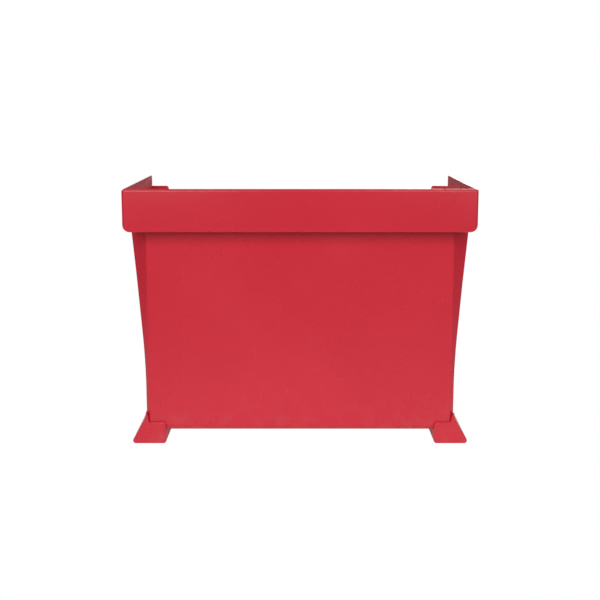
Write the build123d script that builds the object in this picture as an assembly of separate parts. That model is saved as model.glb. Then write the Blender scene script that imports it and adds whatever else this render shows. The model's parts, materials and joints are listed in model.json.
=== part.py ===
from build123d import *
from math import asin, cos, radians, sin, sqrt, tan
import os

# Newspaper vending box, in millimetres. +Z is up, the origin is on the ground under the middle of
# the box, the customer stands at -Y and the plain rear panel faces +Y.

# Overall size
WIDTH = 600.0            # across the hood
DEPTH = 434.0            # hood's rear face to the runners' toes
HEIGHT = 453.0           # ground to the hood's top edge
TOE_REACH = 70.0         # runner toes ahead of the hood's front wall

# Hood
HOOD_HEIGHT = 72.8
HOOD_WALL = 5.0
HOOD_CORNER_R = 5.0      # upright corners
HOOD_LOW_SIDE_R = 14.0   # lower corners seen from the rear
HOOD_LOW_END_R = 3.0     # lower corners seen from the side
HOOD_TOP_ROUND = 4.2     # outer top edge
CHEEK_NOSE_R = 6.0       # front top corner of each cheek
LEDGE_Z = HEIGHT - 20.6  # top of the front wall beside the lid
LEDGE_INNER_X = WIDTH / 2 - 38.0
LEDGE_R = 5.0
DECK_SLOPE = 4.5         # degrees, falling towards the customer
DECK_T = 4.0
DECK_FRONT_Z = HEIGHT - 51.5

# Body shell
BODY_WALL = 4.0
REAR_SETBACK = 36.0      # rear panel behind the hood's rear face
FRONT_SETBACK = 11.0     # shell front behind the hood's front face
SIDE_SETBACK = 5.8       # side wall's top inside the hood's side
BODY_BOTTOM_Z = 23.5
BODY_LOW_R = 13.0
SIDE_BEND_Z = 90.0       # side walls are upright up to here
SIDE_BEND_R = 1200.0
SIDE_LEAN = 4.9          # degrees from upright at the end of that bend
SIDE_TOP_R = 7000.0      # the wall above curves out on this radius
CORNER_STRIP = 6.0       # side wall beyond the flat rear panel, at its foot
PANEL_EDGE_R = 4.0
SHELL_FLANGE = 15.0      # inward flange under the hood
FRONT_FRAME = 22.0       # shell front left around the front opening
FRONT_SILL = 34.0        # shell front left below it

# Runners
RUNNER_INNER_X = WIDTH / 2 - 63.0
RUNNER_OUTER_X = WIDTH / 2 - 0.4    # before its corner is rounded
RUNNER_PROUD = 4.0       # runner's end face outside the shell's end faces
RUNNER_LIP = 16.5        # lip above the shell's underside, on the end faces
RUNNER_FLARE = 30.0      # outer face's lean from upright
RUNNER_SKIN = 1.2        # lip's thickness on the shell's side
RUNNER_BLEND_R = 30.0    # hollow between the flare and that lip
RUNNER_CORNER_R = 5.0
RUNNER_INNER_R = 5.0
RUNNER_EDGE_R = 2.0
RUNNER_WALL = 4.0
RUNNER_CELLS = 7
TOE_Z = 16.0
PAD_PROUD = 1.0          # rubber pad below the runner
PAD_T = 6.0

# Inside
BALLAST_T = 12.0
BALLAST_MARGIN = 12.0    # ballast plate inside the shell's inner faces
SHELF_Z = 132.0
SHELF_T = 2.0
SHELF_GAP = 14.0         # shelf's edge to the shell's side
ANCHOR_HOLE_R = 5.5
ANCHOR_CELLS = (1, 5)    # runner pockets with an anchor hole
BOLT_CELLS = (2, 3, 4)   # runner pockets with a bolt
BOLT_R = 4.0

# Lid
LID_T = 12.0
LID_SIDE_GAP = 4.0       # lid inside the ledges
SEAL_W = 10.0
SEAL_T = 2.2
SEAL_GAP = 0.3           # lid above the seal
HINGE_SETBACK = 23.0     # hinge axis ahead of the hood's rear wall
LEAF_T = 2.0
KNUCKLE_R = 4.0
PIN_R = 2.0
RUNNING_GAP = 0.05
KNUCKLE_GAP = 0.4
HINGE_LENGTH = 60.0
HINGE_X = (-170.0, 0.0, 170.0)
LID_TO_AXIS = 6.0        # lid's rear edge ahead of the hinge axis
FLANGE_GAP = 2.0         # lid's front flange ahead of the hood's front wall
FLANGE_T = 4.0
FLANGE_DROP = 9.0        # flange below the deck
WINDOW_T = 4.0
WINDOW_BORDER = 56.0     # lid edge to window opening at the sides
WINDOW_LIP = 12.0
RETAINER_T = 2.0
HANDLE_LENGTH = 120.0
HANDLE_REACH = 34.0
HANDLE_R = 6.0

# Coin housing, on the customer's right
HOUSING_X = 175.0
HOUSING_W = 114.0
HOUSING_DEPTH = 66.0
HOUSING_WALL = 3.0
HOUSING_BOTTOM_Z = 100.0
HOUSING_UNDER_HOOD = 1.0
FACEPLATE_W = 94.0
FACEPLATE_H = 104.0
FACEPLATE_T = 2.0
COIN_SLOT_W = 3.0
COIN_SLOT_H = 28.0
BUTTON_R = 8.0
BUTTON_TRAVEL = 5.0
CUP_W = 66.0
CUP_H = 46.0
CUP_DEPTH = 42.0
FLAP_T = 2.0
DRAWER_W = 102.0
DRAWER_H = 92.0
TRAY_H = 56.0
SLEEVE_T = 1.5
SLIDE_GAP = 0.4
LOCK_R = 6.0
CAM_CATCH = 4.0          # locked cam's reach above the drawer's opening
LOCK_DROP = 16.0         # lock below the drawer opening's top
CUP_CLEAR = 7.0          # return cup above the drawer's opening
STRIKE_T = 3.0
STRIKE_REACH = 14.0
STRIKE_DROP = 74.0       # strike's tip under the hinge axis, square to the deck
LATCH_W = 8.0
LATCH_LENGTH = 34.0

# Front panel and placard
PANEL_T = 4.0
PLACARD_W = 300.0
PLACARD_H = 212.0
PLACARD_T = 6.0
PLACARD_BORDER = 14.0
SEAT = 0.02              # a fastener's side clearance in its hole

# Places worked out from the sizes above
REAR_Y = DEPTH / 2
TOE_Y = -DEPTH / 2
HOOD_FRONT_Y = TOE_Y + TOE_REACH
HOOD_DEPTH = REAR_Y - HOOD_FRONT_Y
HOOD_Z = HEIGHT - HOOD_HEIGHT
HOOD_HALF = WIDTH / 2
BODY_REAR_Y = REAR_Y - REAR_SETBACK
BODY_FRONT_Y = HOOD_FRONT_Y + FRONT_SETBACK
BODY_MID_Y = (BODY_REAR_Y + BODY_FRONT_Y) / 2
BODY_DEPTH = BODY_REAR_Y - BODY_FRONT_Y
TOP_HALF = HOOD_HALF - SIDE_SETBACK
LEAN = radians(SIDE_LEAN)
BEND_RISE = SIDE_BEND_R * sin(LEAN)
TOP_LEAN = asin(sin(LEAN) + (HOOD_Z - SIDE_BEND_Z - BEND_RISE) / SIDE_TOP_R)
LOW_HALF = TOP_HALF - SIDE_BEND_R * (1 - cos(LEAN)) - SIDE_TOP_R * (cos(LEAN) - cos(TOP_LEAN))
PANEL_HALF = LOW_HALF - CORNER_STRIP
FLOOR_Z = BODY_BOTTOM_Z + BODY_WALL
FRONT_FACE_Y = BODY_FRONT_Y - PANEL_T
SLOPE = radians(DECK_SLOPE)

# The lid's own frame: origin on the hinge axis, x across, y up the deck's slope, z square to it.
AXIS_HEIGHT = SEAL_T + SEAL_GAP + LID_T + LEAF_T / 2
AXIS_RUN = (HOOD_DEPTH - HOOD_WALL) / cos(SLOPE) - HINGE_SETBACK
AXIS_Y = HOOD_FRONT_Y + AXIS_RUN * cos(SLOPE) - AXIS_HEIGHT * sin(SLOPE)
AXIS_Z = DECK_FRONT_Z + AXIS_RUN * sin(SLOPE) + AXIS_HEIGHT * cos(SLOPE)
LID_FRAME = Plane(origin=(0, AXIS_Y, AXIS_Z), x_dir=(1, 0, 0), z_dir=(0, -sin(SLOPE), cos(SLOPE)))
LID_TOP = -LEAF_T / 2
LID_LOW = LID_TOP - LID_T
LID_HALF = LEDGE_INNER_X - LID_SIDE_GAP
LID_REAR = -LID_TO_AXIS
LID_FRONT = -AXIS_RUN - FLANGE_GAP - FLANGE_T
FLANGE_LOW = -AXIS_HEIGHT - FLANGE_DROP
OPENING_HALF = LID_HALF - 22.0
OPENING_REAR = LID_REAR - 18.0
OPENING_FRONT = -AXIS_RUN + 18.0

# Coin housing places
HOUSING_TOP_Z = HOOD_Z - HOUSING_UNDER_HOOD
HOUSING_FRONT_Y = FRONT_FACE_Y - HOUSING_DEPTH
HOUSING_H = HOUSING_TOP_Z - HOUSING_BOTTOM_Z
FACEPLATE_Z = HOUSING_TOP_Z - 12.0 - FACEPLATE_H / 2
CUP_X = HOUSING_X + 12.0
DRAWER_Z = HOUSING_BOTTOM_Z + 6.0
CUP_Z = DRAWER_Z + DRAWER_H + CUP_CLEAR + CUP_H / 2
SLOT_X = HOUSING_X - 30.0
SLOT_Z = FACEPLATE_Z + 14.0
BUTTON_X = HOUSING_X + 24.0
BUTTON_Z = FACEPLATE_Z + 10.0
STRIKE_MOUNT_Y = LID_FRONT - STRIKE_T
BLADE_MID_Y = STRIKE_MOUNT_Y - STRIKE_REACH / 2
LATCH_DROP = STRIKE_DROP - 14.0
LATCH_Y = AXIS_Y + BLADE_MID_Y * cos(SLOPE) + LATCH_DROP * sin(SLOPE)
LATCH_Z = AXIS_Z + BLADE_MID_Y * sin(SLOPE) - LATCH_DROP * cos(SLOPE)
LATCH_REST_X = HOUSING_X + STRIKE_T / 2 + 3.0
PLACARD_X = (HOUSING_X - HOUSING_W / 2 - PANEL_HALF) / 2
PLACARD_Z = (FLOOR_Z + HOOD_Z) / 2 + 12.0


def block(x, y, z):
    """A box between two corners, each given as a (low, high) pair along its axis."""
    size = (x[1] - x[0], y[1] - y[0], z[1] - z[0])
    middle = ((x[0] + x[1]) / 2, (y[0] + y[1]) / 2, (z[0] + z[1]) / 2)
    return Pos(*middle) * Box(*size)


def rod(start, end, radius):
    """A round bar along one row axis, from start to end."""
    start, end = Vector(*start), Vector(*end)
    plane = Plane(origin=start, z_dir=end - start)
    return extrude(plane * Circle(radius), (end - start).length)


def save(name, pieces):
    """Write one node; a list of separate pieces goes into it as separate solids."""
    shape = Compound(children=list(pieces)) if isinstance(pieces, (list, tuple)) else pieces
    export_step(shape, f"parts/{name}.step")


def row(low, high, count):
    """Evenly spaced places from low to high."""
    return [low + (high - low) * i / (count - 1) for i in range(count)]


def cap_screw(radius, length, head_r, head_t):
    """Domed screw with a hex socket, head's underside at z = 0, shank down."""
    head = Cylinder(head_r, head_t, align=(Align.CENTER, Align.CENTER, Align.MIN))
    head = fillet(head.edges().group_by(Axis.Z)[-1], head_t * 0.45)
    socket = extrude(Pos(0, 0, head_t) * RegularPolygon(head_r * 0.45, 6), -head_t * 0.6)
    shank = Cylinder(radius, length, align=(Align.CENTER, Align.CENTER, Align.MAX))
    return head + shank - socket


def flush_screw(radius, length, head_r):
    """Countersunk screw, head's top at z = 0."""
    cone = extrude(Circle(head_r), -(head_r - radius), taper=45)
    shank = Cylinder(radius, length, align=(Align.CENTER, Align.CENTER, Align.MAX))
    socket = extrude(RegularPolygon(head_r * 0.4, 6), -(head_r - radius) * 0.7)
    return cone + shank - socket


def flush_hole(radius, length, head_r):
    """What a flush screw's seat takes away."""
    cone = extrude(Circle(head_r), -(head_r - radius), taper=45)
    shank = Cylinder(radius + SEAT, length, align=(Align.CENTER, Align.CENTER, Align.MAX))
    return cone + shank


def drum(radius, length):
    """What a plain screw's hole takes away, down from z = 0."""
    return Cylinder(radius, length, align=(Align.CENTER, Align.CENTER, Align.MAX))


def facing(x, y, z):
    """Frame on a wall that faces the customer: z out towards the customer, y up."""
    return Plane(origin=(x, y, z), x_dir=(1, 0, 0), z_dir=(0, -1, 0))


# Body shell ---------------------------------------------------------------------------------------

def side_profile(inset, low_z, low_r, top_z):
    """Front elevation of the shell: upright foot, bend, and a wall that curves gently outwards."""
    foot = LOW_HALF - inset
    radius = SIDE_BEND_R + inset
    bend_x = foot + radius * (1 - cos(LEAN))
    bend_z = SIDE_BEND_Z + radius * sin(LEAN)
    long_radius = SIDE_TOP_R + inset
    top_lean = asin(sin(LEAN) + (top_z - bend_z) / long_radius)
    top_x = bend_x + long_radius * (cos(LEAN) - cos(top_lean))
    right = [
        Line((0, low_z), (foot - low_r, low_z)),
        RadiusArc((foot - low_r, low_z), (foot, low_z + low_r), -low_r),
        Line((foot, low_z + low_r), (foot, SIDE_BEND_Z)),
        RadiusArc((foot, SIDE_BEND_Z), (bend_x, bend_z), radius),
        RadiusArc((bend_x, bend_z), (top_x, top_z), long_radius),
        Line((top_x, top_z), (0, top_z)),
    ]
    half = make_face(Curve() + right + Line((0, top_z), (0, low_z)))
    return half + mirror(half, Plane.YZ)


def body_solid(inset, low_z, top_z, low_r):
    """Shell's outer form, or the form one wall further in."""
    profile = Plane.XZ.offset(-BODY_MID_Y) * side_profile(inset, low_z, low_r, top_z)
    leaning = extrude(profile, BODY_DEPTH, both=True)
    front, rear = BODY_FRONT_Y + inset, BODY_REAR_Y - inset
    ends = Pos((front + rear) / 2, (low_z + top_z) / 2) * Rectangle(rear - front, top_z - low_z)
    ends = fillet(ends.vertices().group_by(Axis.Y)[0], low_r)
    rolled = extrude(Plane.YZ * ends, WIDTH, both=True)
    flat = PANEL_HALF - inset * (sqrt(2) - 1)
    wide = HOOD_HALF + 10
    cut = wide - flat
    corners = [(flat, rear), (wide, rear - cut), (wide, front + cut), (flat, front)]
    corners += [(-x, y) for x, y in reversed(corners)]
    plan = make_face(Polyline(*corners, close=True))
    sharp = [v for v in plan.vertices() if abs(abs(v.X) - flat) < 0.01]
    plan = fillet(sharp, PANEL_EDGE_R - inset / 2)
    upright = extrude(Pos(0, 0, low_z) * plan, top_z - low_z)
    return leaning & rolled & upright


BODY_OUTER = body_solid(0, BODY_BOTTOM_Z, HOOD_Z, BODY_LOW_R)
BODY_INNER = body_solid(BODY_WALL, FLOOR_Z, HOOD_Z - BODY_WALL, BODY_LOW_R - BODY_WALL)
COLLAR_HALF = TOP_HALF - BODY_WALL - SHELL_FLANGE
COLLAR_REAR = BODY_REAR_Y - BODY_WALL - SHELL_FLANGE
COLLAR_FRONT = BODY_FRONT_Y + BODY_WALL + SHELL_FLANGE / 2
FRONT_OPEN_HALF = PANEL_HALF - FRONT_FRAME
FRONT_OPEN_Z = (FLOOR_Z + FRONT_SILL, HOOD_Z - BODY_WALL - FRONT_FRAME)

CELL_X = (RUNNER_INNER_X + RUNNER_WALL, LOW_HALF - RUNNER_WALL)
CELL_PITCH = (BODY_DEPTH - RUNNER_WALL) / RUNNER_CELLS
CELL_SPANS = [(BODY_REAR_Y - (i + 1) * CELL_PITCH, BODY_REAR_Y - RUNNER_WALL - i * CELL_PITCH)
              for i in range(RUNNER_CELLS)]
PAD_SPANS = (CELL_SPANS[0], CELL_SPANS[-1])
CELL_MID_X = (CELL_X[0] + CELL_X[1]) / 2


def cell_places(cells):
    """Middle of the given pockets, on both runners."""
    return [(x, sum(CELL_SPANS[i]) / 2) for x in (-CELL_MID_X, CELL_MID_X) for i in cells]


ANCHORS = cell_places(ANCHOR_CELLS)
RUNNER_BOLTS = cell_places(BOLT_CELLS)
COLLAR_SCREWS = [(x, y) for x in row(-COLLAR_HALF + 30, COLLAR_HALF - 30, 4)
                 for y in (COLLAR_REAR + SHELL_FLANGE / 2,)]
COLLAR_SCREWS += [(x, y) for x in (-COLLAR_HALF - SHELL_FLANGE / 2, COLLAR_HALF + SHELL_FLANGE / 2)
                  for y in row(COLLAR_FRONT + 40, COLLAR_REAR - 40, 3)]
PANEL_SCREWS = [(x, z) for x in row(-FRONT_OPEN_HALF - 5, FRONT_OPEN_HALF + 5, 4)
                for z in (FRONT_OPEN_Z[0] - 10, FRONT_OPEN_Z[1] + 10)]
PANEL_SCREWS += [(x, z) for x in (-FRONT_OPEN_HALF - 10, FRONT_OPEN_HALF + 10)
                 for z in row(FRONT_OPEN_Z[0] + 60, FRONT_OPEN_Z[1] - 60, 2)]


def cabinet_shell():
    """Moulded shell with floor, open at the top and front, with flanges all round."""
    shell = BODY_OUTER - BODY_INNER
    shell -= block((-COLLAR_HALF, COLLAR_HALF), (COLLAR_FRONT, COLLAR_REAR), (HOOD_Z - 9, HOOD_Z + 1))
    shell -= block((-FRONT_OPEN_HALF, FRONT_OPEN_HALF),
                   (BODY_FRONT_Y - 1, BODY_FRONT_Y + BODY_WALL + 1), FRONT_OPEN_Z)
    for x, y in ANCHORS:
        shell -= Pos(x, y, FLOOR_Z + 1) * drum(ANCHOR_HOLE_R, BODY_WALL + 2)
    for x, y in RUNNER_BOLTS:
        shell -= Pos(x, y, FLOOR_Z + 1) * drum(BOLT_R + SEAT, BODY_WALL + 2)
    for x, y in COLLAR_SCREWS:
        shell -= Pos(x, y, HOOD_Z + 1) * drum(2 + SEAT, BODY_WALL + 2)
    for x, z in PANEL_SCREWS:
        shell -= facing(x, BODY_FRONT_Y - 1, z).location * drum(2 + SEAT, BODY_WALL + 2)
    return shell


# Hood ---------------------------------------------------------------------------------------------

def hood_solid(inset, top_z):
    """Hood's outer form, or the form one wall further in."""
    half = HOOD_HALF - inset
    low_z = HOOD_Z + inset
    front, rear = HOOD_FRONT_Y + inset, REAR_Y - inset
    face = Pos(0, (low_z + top_z) / 2) * Rectangle(2 * half, top_z - low_z)
    face = fillet(face.vertices().group_by(Axis.Y)[0], HOOD_LOW_SIDE_R - inset)
    across = extrude(Plane.XZ.offset(-(front + rear) / 2) * face, HOOD_DEPTH, both=True)
    ends = Pos((front + rear) / 2, (low_z + top_z) / 2) * Rectangle(rear - front, top_z - low_z)
    if inset == 0:
        ends = fillet(ends.vertices().group_by(Axis.Y)[0], HOOD_LOW_END_R)
    along = extrude(Plane.YZ * ends, WIDTH, both=True)
    plan = Pos(0, (front + rear) / 2) * Rectangle(2 * half, rear - front)
    plan = fillet(plan.vertices(), max(HOOD_CORNER_R - inset, 1.0))
    upright = extrude(Pos(0, 0, low_z) * plan, top_z - low_z)
    return across & along & upright


def hinge_block_span():
    """Local y of the three hinge blocks on the deck."""
    return (LID_TO_AXIS, HINGE_SETBACK)


def hood():
    """Band with cheeks, sloping deck with the paper opening, and a return flange underneath."""
    outer = hood_solid(0, HEIGHT)
    inner = hood_solid(HOOD_WALL, HEIGHT + 20)
    rim = fillet(outer.edges().filter_by_position(Axis.Z, HEIGHT - 0.01, HEIGHT + 0.01), HOOD_TOP_ROUND)
    rim -= inner
    far = HOOD_FRONT_Y - 20
    cheek_inner = HOOD_HALF - HOOD_WALL
    rim -= block((-cheek_inner, cheek_inner), (far, HOOD_FRONT_Y + HOOD_WALL + 2), (LEDGE_Z, HEIGHT + 20))
    deck_box = block((-HOOD_HALF, HOOD_HALF), (-2 * HOOD_DEPTH, 60),
                     (-AXIS_HEIGHT - DECK_T, -AXIS_HEIGHT))
    deck = LID_FRAME.location * deck_box
    body = rim + (deck & hood_solid(1.0, HEIGHT))
    notch = block((-LEDGE_INNER_X, LEDGE_INNER_X), (-AXIS_RUN - 30, -AXIS_RUN + HOOD_WALL + 4),
                  (-AXIS_HEIGHT, 60))
    body -= LID_FRAME.location * notch
    for side in (-1, 1):
        corner_x = side * (LEDGE_INNER_X + LEDGE_R)
        wall_y = (HOOD_FRONT_Y - 1, HOOD_FRONT_Y + HOOD_WALL + 1)
        corner = block(sorted((corner_x, side * LEDGE_INNER_X)), wall_y, (LEDGE_Z - LEDGE_R, LEDGE_Z + 1))
        body -= corner - rod((corner_x, wall_y[0] - 1, LEDGE_Z - LEDGE_R),
                             (corner_x, wall_y[1] + 1, LEDGE_Z - LEDGE_R), LEDGE_R)
    opening = block((-OPENING_HALF, OPENING_HALF), (OPENING_FRONT, OPENING_REAR),
                    (-AXIS_HEIGHT - DECK_T - 3, -AXIS_HEIGHT + 3))
    body -= LID_FRAME.location * opening
    body -= block((-COLLAR_HALF, COLLAR_HALF), (COLLAR_FRONT, COLLAR_REAR), (HOOD_Z - 1, HOOD_Z + 9))
    span = hinge_block_span()
    for x in HINGE_X:
        foot = block((x - HINGE_LENGTH / 2, x + HINGE_LENGTH / 2), (span[0], span[1] + 1.5),
                     (-AXIS_HEIGHT - 0.5, LID_TOP))
        body += LID_FRAME.location * foot
        for place in hinge_screw_places(x):
            body -= LID_FRAME.location * Pos(place, (span[0] + span[1]) / 2, LID_TOP + 1) * drum(2 + SEAT, 13)
    for x, y in COLLAR_SCREWS:
        body -= Pos(x, y, HOOD_Z + HOOD_WALL + 1) * drum(2 + SEAT, HOOD_WALL + 2)
    nose_y, nose_z = HOOD_FRONT_Y + CHEEK_NOSE_R, HEIGHT - CHEEK_NOSE_R
    square = block((-WIDTH, WIDTH), (far, nose_y), (nose_z, HEIGHT + 1))
    body -= square - rod((-WIDTH - 1, nose_y, nose_z), (WIDTH + 1, nose_y, nose_z), CHEEK_NOSE_R)
    return body


def hinge_screw_places(x):
    """Screws of one hinge leaf, along x."""
    return (x - HINGE_LENGTH * 0.3, x + HINGE_LENGTH * 0.3)


def hood_screws():
    """Screws through the hood's return flange and the shell's flange."""
    return [Pos(x, y, HOOD_Z + HOOD_WALL) * cap_screw(2, 14, 4, 2.6) for x, y in COLLAR_SCREWS]


def hood_nuts():
    """Hex nuts under the shell's flange."""
    nut = extrude(RegularPolygon(4, 6) - Circle(2 + SEAT), -3.2)
    return [Pos(x, y, HOOD_Z - BODY_WALL) * nut for x, y in COLLAR_SCREWS]


# Runners ------------------------------------------------------------------------------------------

RUNNER_Z = PAD_PROUD
RUNNER_TOP_Z = BODY_BOTTOM_Z + RUNNER_LIP
RUNNER_REAR_Y = BODY_REAR_Y + RUNNER_PROUD
RUNNER_CAP_Y = FRONT_FACE_Y - RUNNER_PROUD
CELL_TOP_Z = BODY_BOTTOM_Z - RUNNER_WALL


def runner():
    """Right-hand runner: flared foot, lip around the shell's lower edge, low toe, ribbed underside."""
    flare = tan(radians(RUNNER_FLARE))
    side_x = LOW_HALF + RUNNER_SKIN
    meet_z = RUNNER_Z + (RUNNER_OUTER_X - side_x) / flare
    side_top_z = meet_z + RUNNER_BLEND_R * tan(radians(RUNNER_FLARE) / 2)
    outline = [(RUNNER_INNER_X, RUNNER_Z), (RUNNER_OUTER_X, RUNNER_Z), (side_x, meet_z),
               (side_x, side_top_z + 0.5), (LOW_HALF - RUNNER_SKIN, side_top_z + 0.5),
               (PANEL_HALF + RUNNER_SKIN, RUNNER_TOP_Z), (RUNNER_INNER_X, RUNNER_TOP_Z)]
    face = make_face(Polyline(*outline, close=True))
    for (x, z), radius in ((outline[1], RUNNER_CORNER_R), (outline[2], RUNNER_BLEND_R),
                           (outline[0], RUNNER_INNER_R), (outline[6], RUNNER_INNER_R)):
        face = fillet([v for v in face.vertices() if abs(v.X - x) + abs(v.Y - z) < 0.01], radius)
    mid = (RUNNER_REAR_Y + TOE_Y) / 2
    solid = extrude(Plane.XZ.offset(-mid) * face, (RUNNER_REAR_Y - TOE_Y) / 2, both=True)
    rear_edges = solid.faces().sort_by(Axis.Y)[-1].edges()
    solid = fillet([e for e in rear_edges if e.center().Z < RUNNER_TOP_Z - 1], RUNNER_EDGE_R)
    solid -= BODY_OUTER
    solid -= block((0, WIDTH), (FRONT_FACE_Y, BODY_FRONT_Y + 1), (BODY_BOTTOM_Z + BODY_LOW_R, HEIGHT))
    slant = [(RUNNER_CAP_Y, side_top_z + 2), (TOE_Y - 1, side_top_z + 2), (TOE_Y - 1, TOE_Z),
             (TOE_Y + 14, TOE_Z), (RUNNER_CAP_Y - 10, RUNNER_TOP_Z - 12), (RUNNER_CAP_Y, RUNNER_TOP_Z)]
    solid -= extrude(Plane.YZ * make_face(Polyline(*slant, close=True)), WIDTH)
    for span in CELL_SPANS:
        top = RUNNER_Z + PAD_T - PAD_PROUD if span in PAD_SPANS else CELL_TOP_Z
        solid -= block(CELL_X, span, (0, top))
    for x, y in ANCHORS:
        if x > 0:
            solid -= Pos(x, y, BODY_BOTTOM_Z + 1) * drum(ANCHOR_HOLE_R, RUNNER_WALL + 2)
    for x, y in RUNNER_BOLTS:
        if x > 0:
            solid -= Pos(x, y, BODY_BOTTOM_Z + 1) * drum(BOLT_R + SEAT, RUNNER_WALL + 2)
    return solid


def foot_pads():
    """Rubber pads seated in the end pockets, one millimetre proud."""
    pads = []
    for low, high in PAD_SPANS:
        pad = block((CELL_X[0] + 0.5, CELL_X[1] - 0.5), (low + 0.5, high - 0.5),
                    (0, RUNNER_Z + PAD_T - PAD_PROUD))
        pad = fillet(pad.edges().filter_by(Axis.Z), 4)
        pads += [pad, mirror(pad, Plane.YZ)]
    return pads


def ballast_plate():
    """Steel plate on the floor that keeps the box from tipping."""
    half = LOW_HALF - BODY_WALL - BALLAST_MARGIN
    span = (BODY_FRONT_Y + BODY_WALL + BALLAST_MARGIN, BODY_REAR_Y - BODY_WALL - BALLAST_MARGIN)
    plate = block((-half, half), span, (FLOOR_Z, FLOOR_Z + BALLAST_T))
    plate = fillet(plate.edges().filter_by(Axis.Z), 12)
    for x, y in ANCHORS:
        plate -= Pos(x, y, FLOOR_Z + BALLAST_T + 1) * drum(ANCHOR_HOLE_R, BALLAST_T + 2)
    for x, y in RUNNER_BOLTS:
        plate -= Pos(x, y, FLOOR_Z + BALLAST_T + 1) * drum(BOLT_R + SEAT, BALLAST_T + 2)
    for x, y in SHELF_SCREWS:
        plate -= Pos(x, y, FLOOR_Z + BALLAST_T + 1) * drum(2.5 + SEAT, BALLAST_T + 0.9)
    return plate


def runner_bolts():
    """Bolts down through ballast, floor and runner."""
    length = BALLAST_T + BODY_WALL + RUNNER_WALL + 10
    return [Pos(x, y, FLOOR_Z + BALLAST_T) * cap_screw(BOLT_R, length, 7, 5) for x, y in RUNNER_BOLTS]


def runner_nuts():
    """Nuts inside the runners' pockets."""
    nut = extrude(RegularPolygon(7.5, 6) - Circle(BOLT_R + SEAT), -6.5)
    return [Pos(x, y, CELL_TOP_Z) * nut for x, y in RUNNER_BOLTS]


# Paper shelf --------------------------------------------------------------------------------------

SHELF_HALF = LOW_HALF - BODY_WALL - SHELF_GAP - 6.0
SHELF_Y = (BODY_FRONT_Y + BODY_WALL + 24.0, BODY_REAR_Y - BODY_WALL - 12.0)
SHELF_FOOT = 18.0
SHELF_FOOT_X = SHELF_HALF - 26.0
SHELF_SCREWS = [(x, y) for x in (-SHELF_FOOT_X + SHELF_FOOT / 2, SHELF_FOOT_X - SHELF_FOOT / 2)
                for y in row(SHELF_Y[0] + 30, SHELF_Y[1] - 30, 3)]


def paper_shelf():
    """Flat sheet that the newspapers lie on."""
    return block((-SHELF_HALF, SHELF_HALF), SHELF_Y, (SHELF_Z - SHELF_T, SHELF_Z))


def shelf_edges():
    """Strips welded to the shelf: three stand up and keep the papers in, one stiffens the front edge."""
    up = (SHELF_Z, SHELF_Z + 12)
    strips = [block(sorted((side * SHELF_HALF, side * (SHELF_HALF - SHELF_T))),
                    (SHELF_Y[0], SHELF_Y[1] - SHELF_T), up) for side in (-1, 1)]
    strips.append(block((-SHELF_HALF, SHELF_HALF), (SHELF_Y[1] - SHELF_T, SHELF_Y[1]), up))
    strips.append(block((-SHELF_HALF, SHELF_HALF), (SHELF_Y[0], SHELF_Y[0] + SHELF_T),
                        (SHELF_Z - 16, SHELF_Z - SHELF_T)))
    return strips


def shelf_legs():
    """Two folded legs welded under the shelf, with inward feet on the ballast plate."""
    low = FLOOR_Z + BALLAST_T
    leg_y = (SHELF_Y[0] + SHELF_T, SHELF_Y[1])
    legs = []
    for side in (-1, 1):
        wall_x = sorted((side * SHELF_FOOT_X, side * (SHELF_FOOT_X - SHELF_T)))
        leg = block(wall_x, leg_y, (low, SHELF_Z - SHELF_T))
        foot_x = sorted((side * SHELF_FOOT_X, side * (SHELF_FOOT_X - SHELF_FOOT)))
        leg += block(foot_x, leg_y, (low, low + SHELF_T))
        for x, y in SHELF_SCREWS:
            if x * side > 0:
                leg -= Pos(x, y, low + SHELF_T + 1) * drum(2.5 + SEAT, SHELF_T + 2)
        legs.append(leg)
    return legs


def shelf_screws():
    """Screws through the shelf's feet into the ballast plate."""
    top = FLOOR_Z + BALLAST_T + SHELF_T
    return [Pos(x, y, top) * cap_screw(2.5, 11, 4.6, 3) for x, y in SHELF_SCREWS]


# Front panel and placard --------------------------------------------------------------------------

HOUSING_BOLTS = [(HOUSING_X + x, z) for x in (-HOUSING_W / 2 + 14, HOUSING_W / 2 - 14)
                 for z in (HOUSING_BOTTOM_Z + 104, HOUSING_TOP_Z - 78)]
PLACARD_RIVETS = [(PLACARD_X + x, PLACARD_Z + z)
                  for x in row(-PLACARD_W / 2 + 7, PLACARD_W / 2 - 7, 3)
                  for z in (-PLACARD_H / 2 + 7, PLACARD_H / 2 - 7)]


def front_panel():
    """Removable front wall between the runners and the hood."""
    half = PANEL_HALF - 4
    panel = block((-half, half), (FRONT_FACE_Y, BODY_FRONT_Y), (BODY_BOTTOM_Z + BODY_LOW_R + 1, HOOD_Z - 1))
    panel = fillet(panel.edges().filter_by(Axis.Y), 8)
    panel = fillet(panel.faces().sort_by(Axis.Y)[0].edges(), 1.5)
    for x, z in PANEL_SCREWS:
        panel -= facing(x, FRONT_FACE_Y, z).location * drum(2 + SEAT, PANEL_T + 1)
    for x, z in HOUSING_BOLTS:
        panel -= facing(x, FRONT_FACE_Y - 1, z).location * drum(3 + SEAT, PANEL_T + 2)
    for x, z in PLACARD_RIVETS:
        panel -= facing(x, FRONT_FACE_Y - 1, z).location * drum(1.6 + SEAT, PANEL_T + 2)
    return panel


def front_panel_screws():
    """Screws through the front panel into the shell's front flange."""
    return [facing(x, FRONT_FACE_Y, z).location * cap_screw(2, 12, 4.5, 2.6) for x, z in PANEL_SCREWS]


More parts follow.
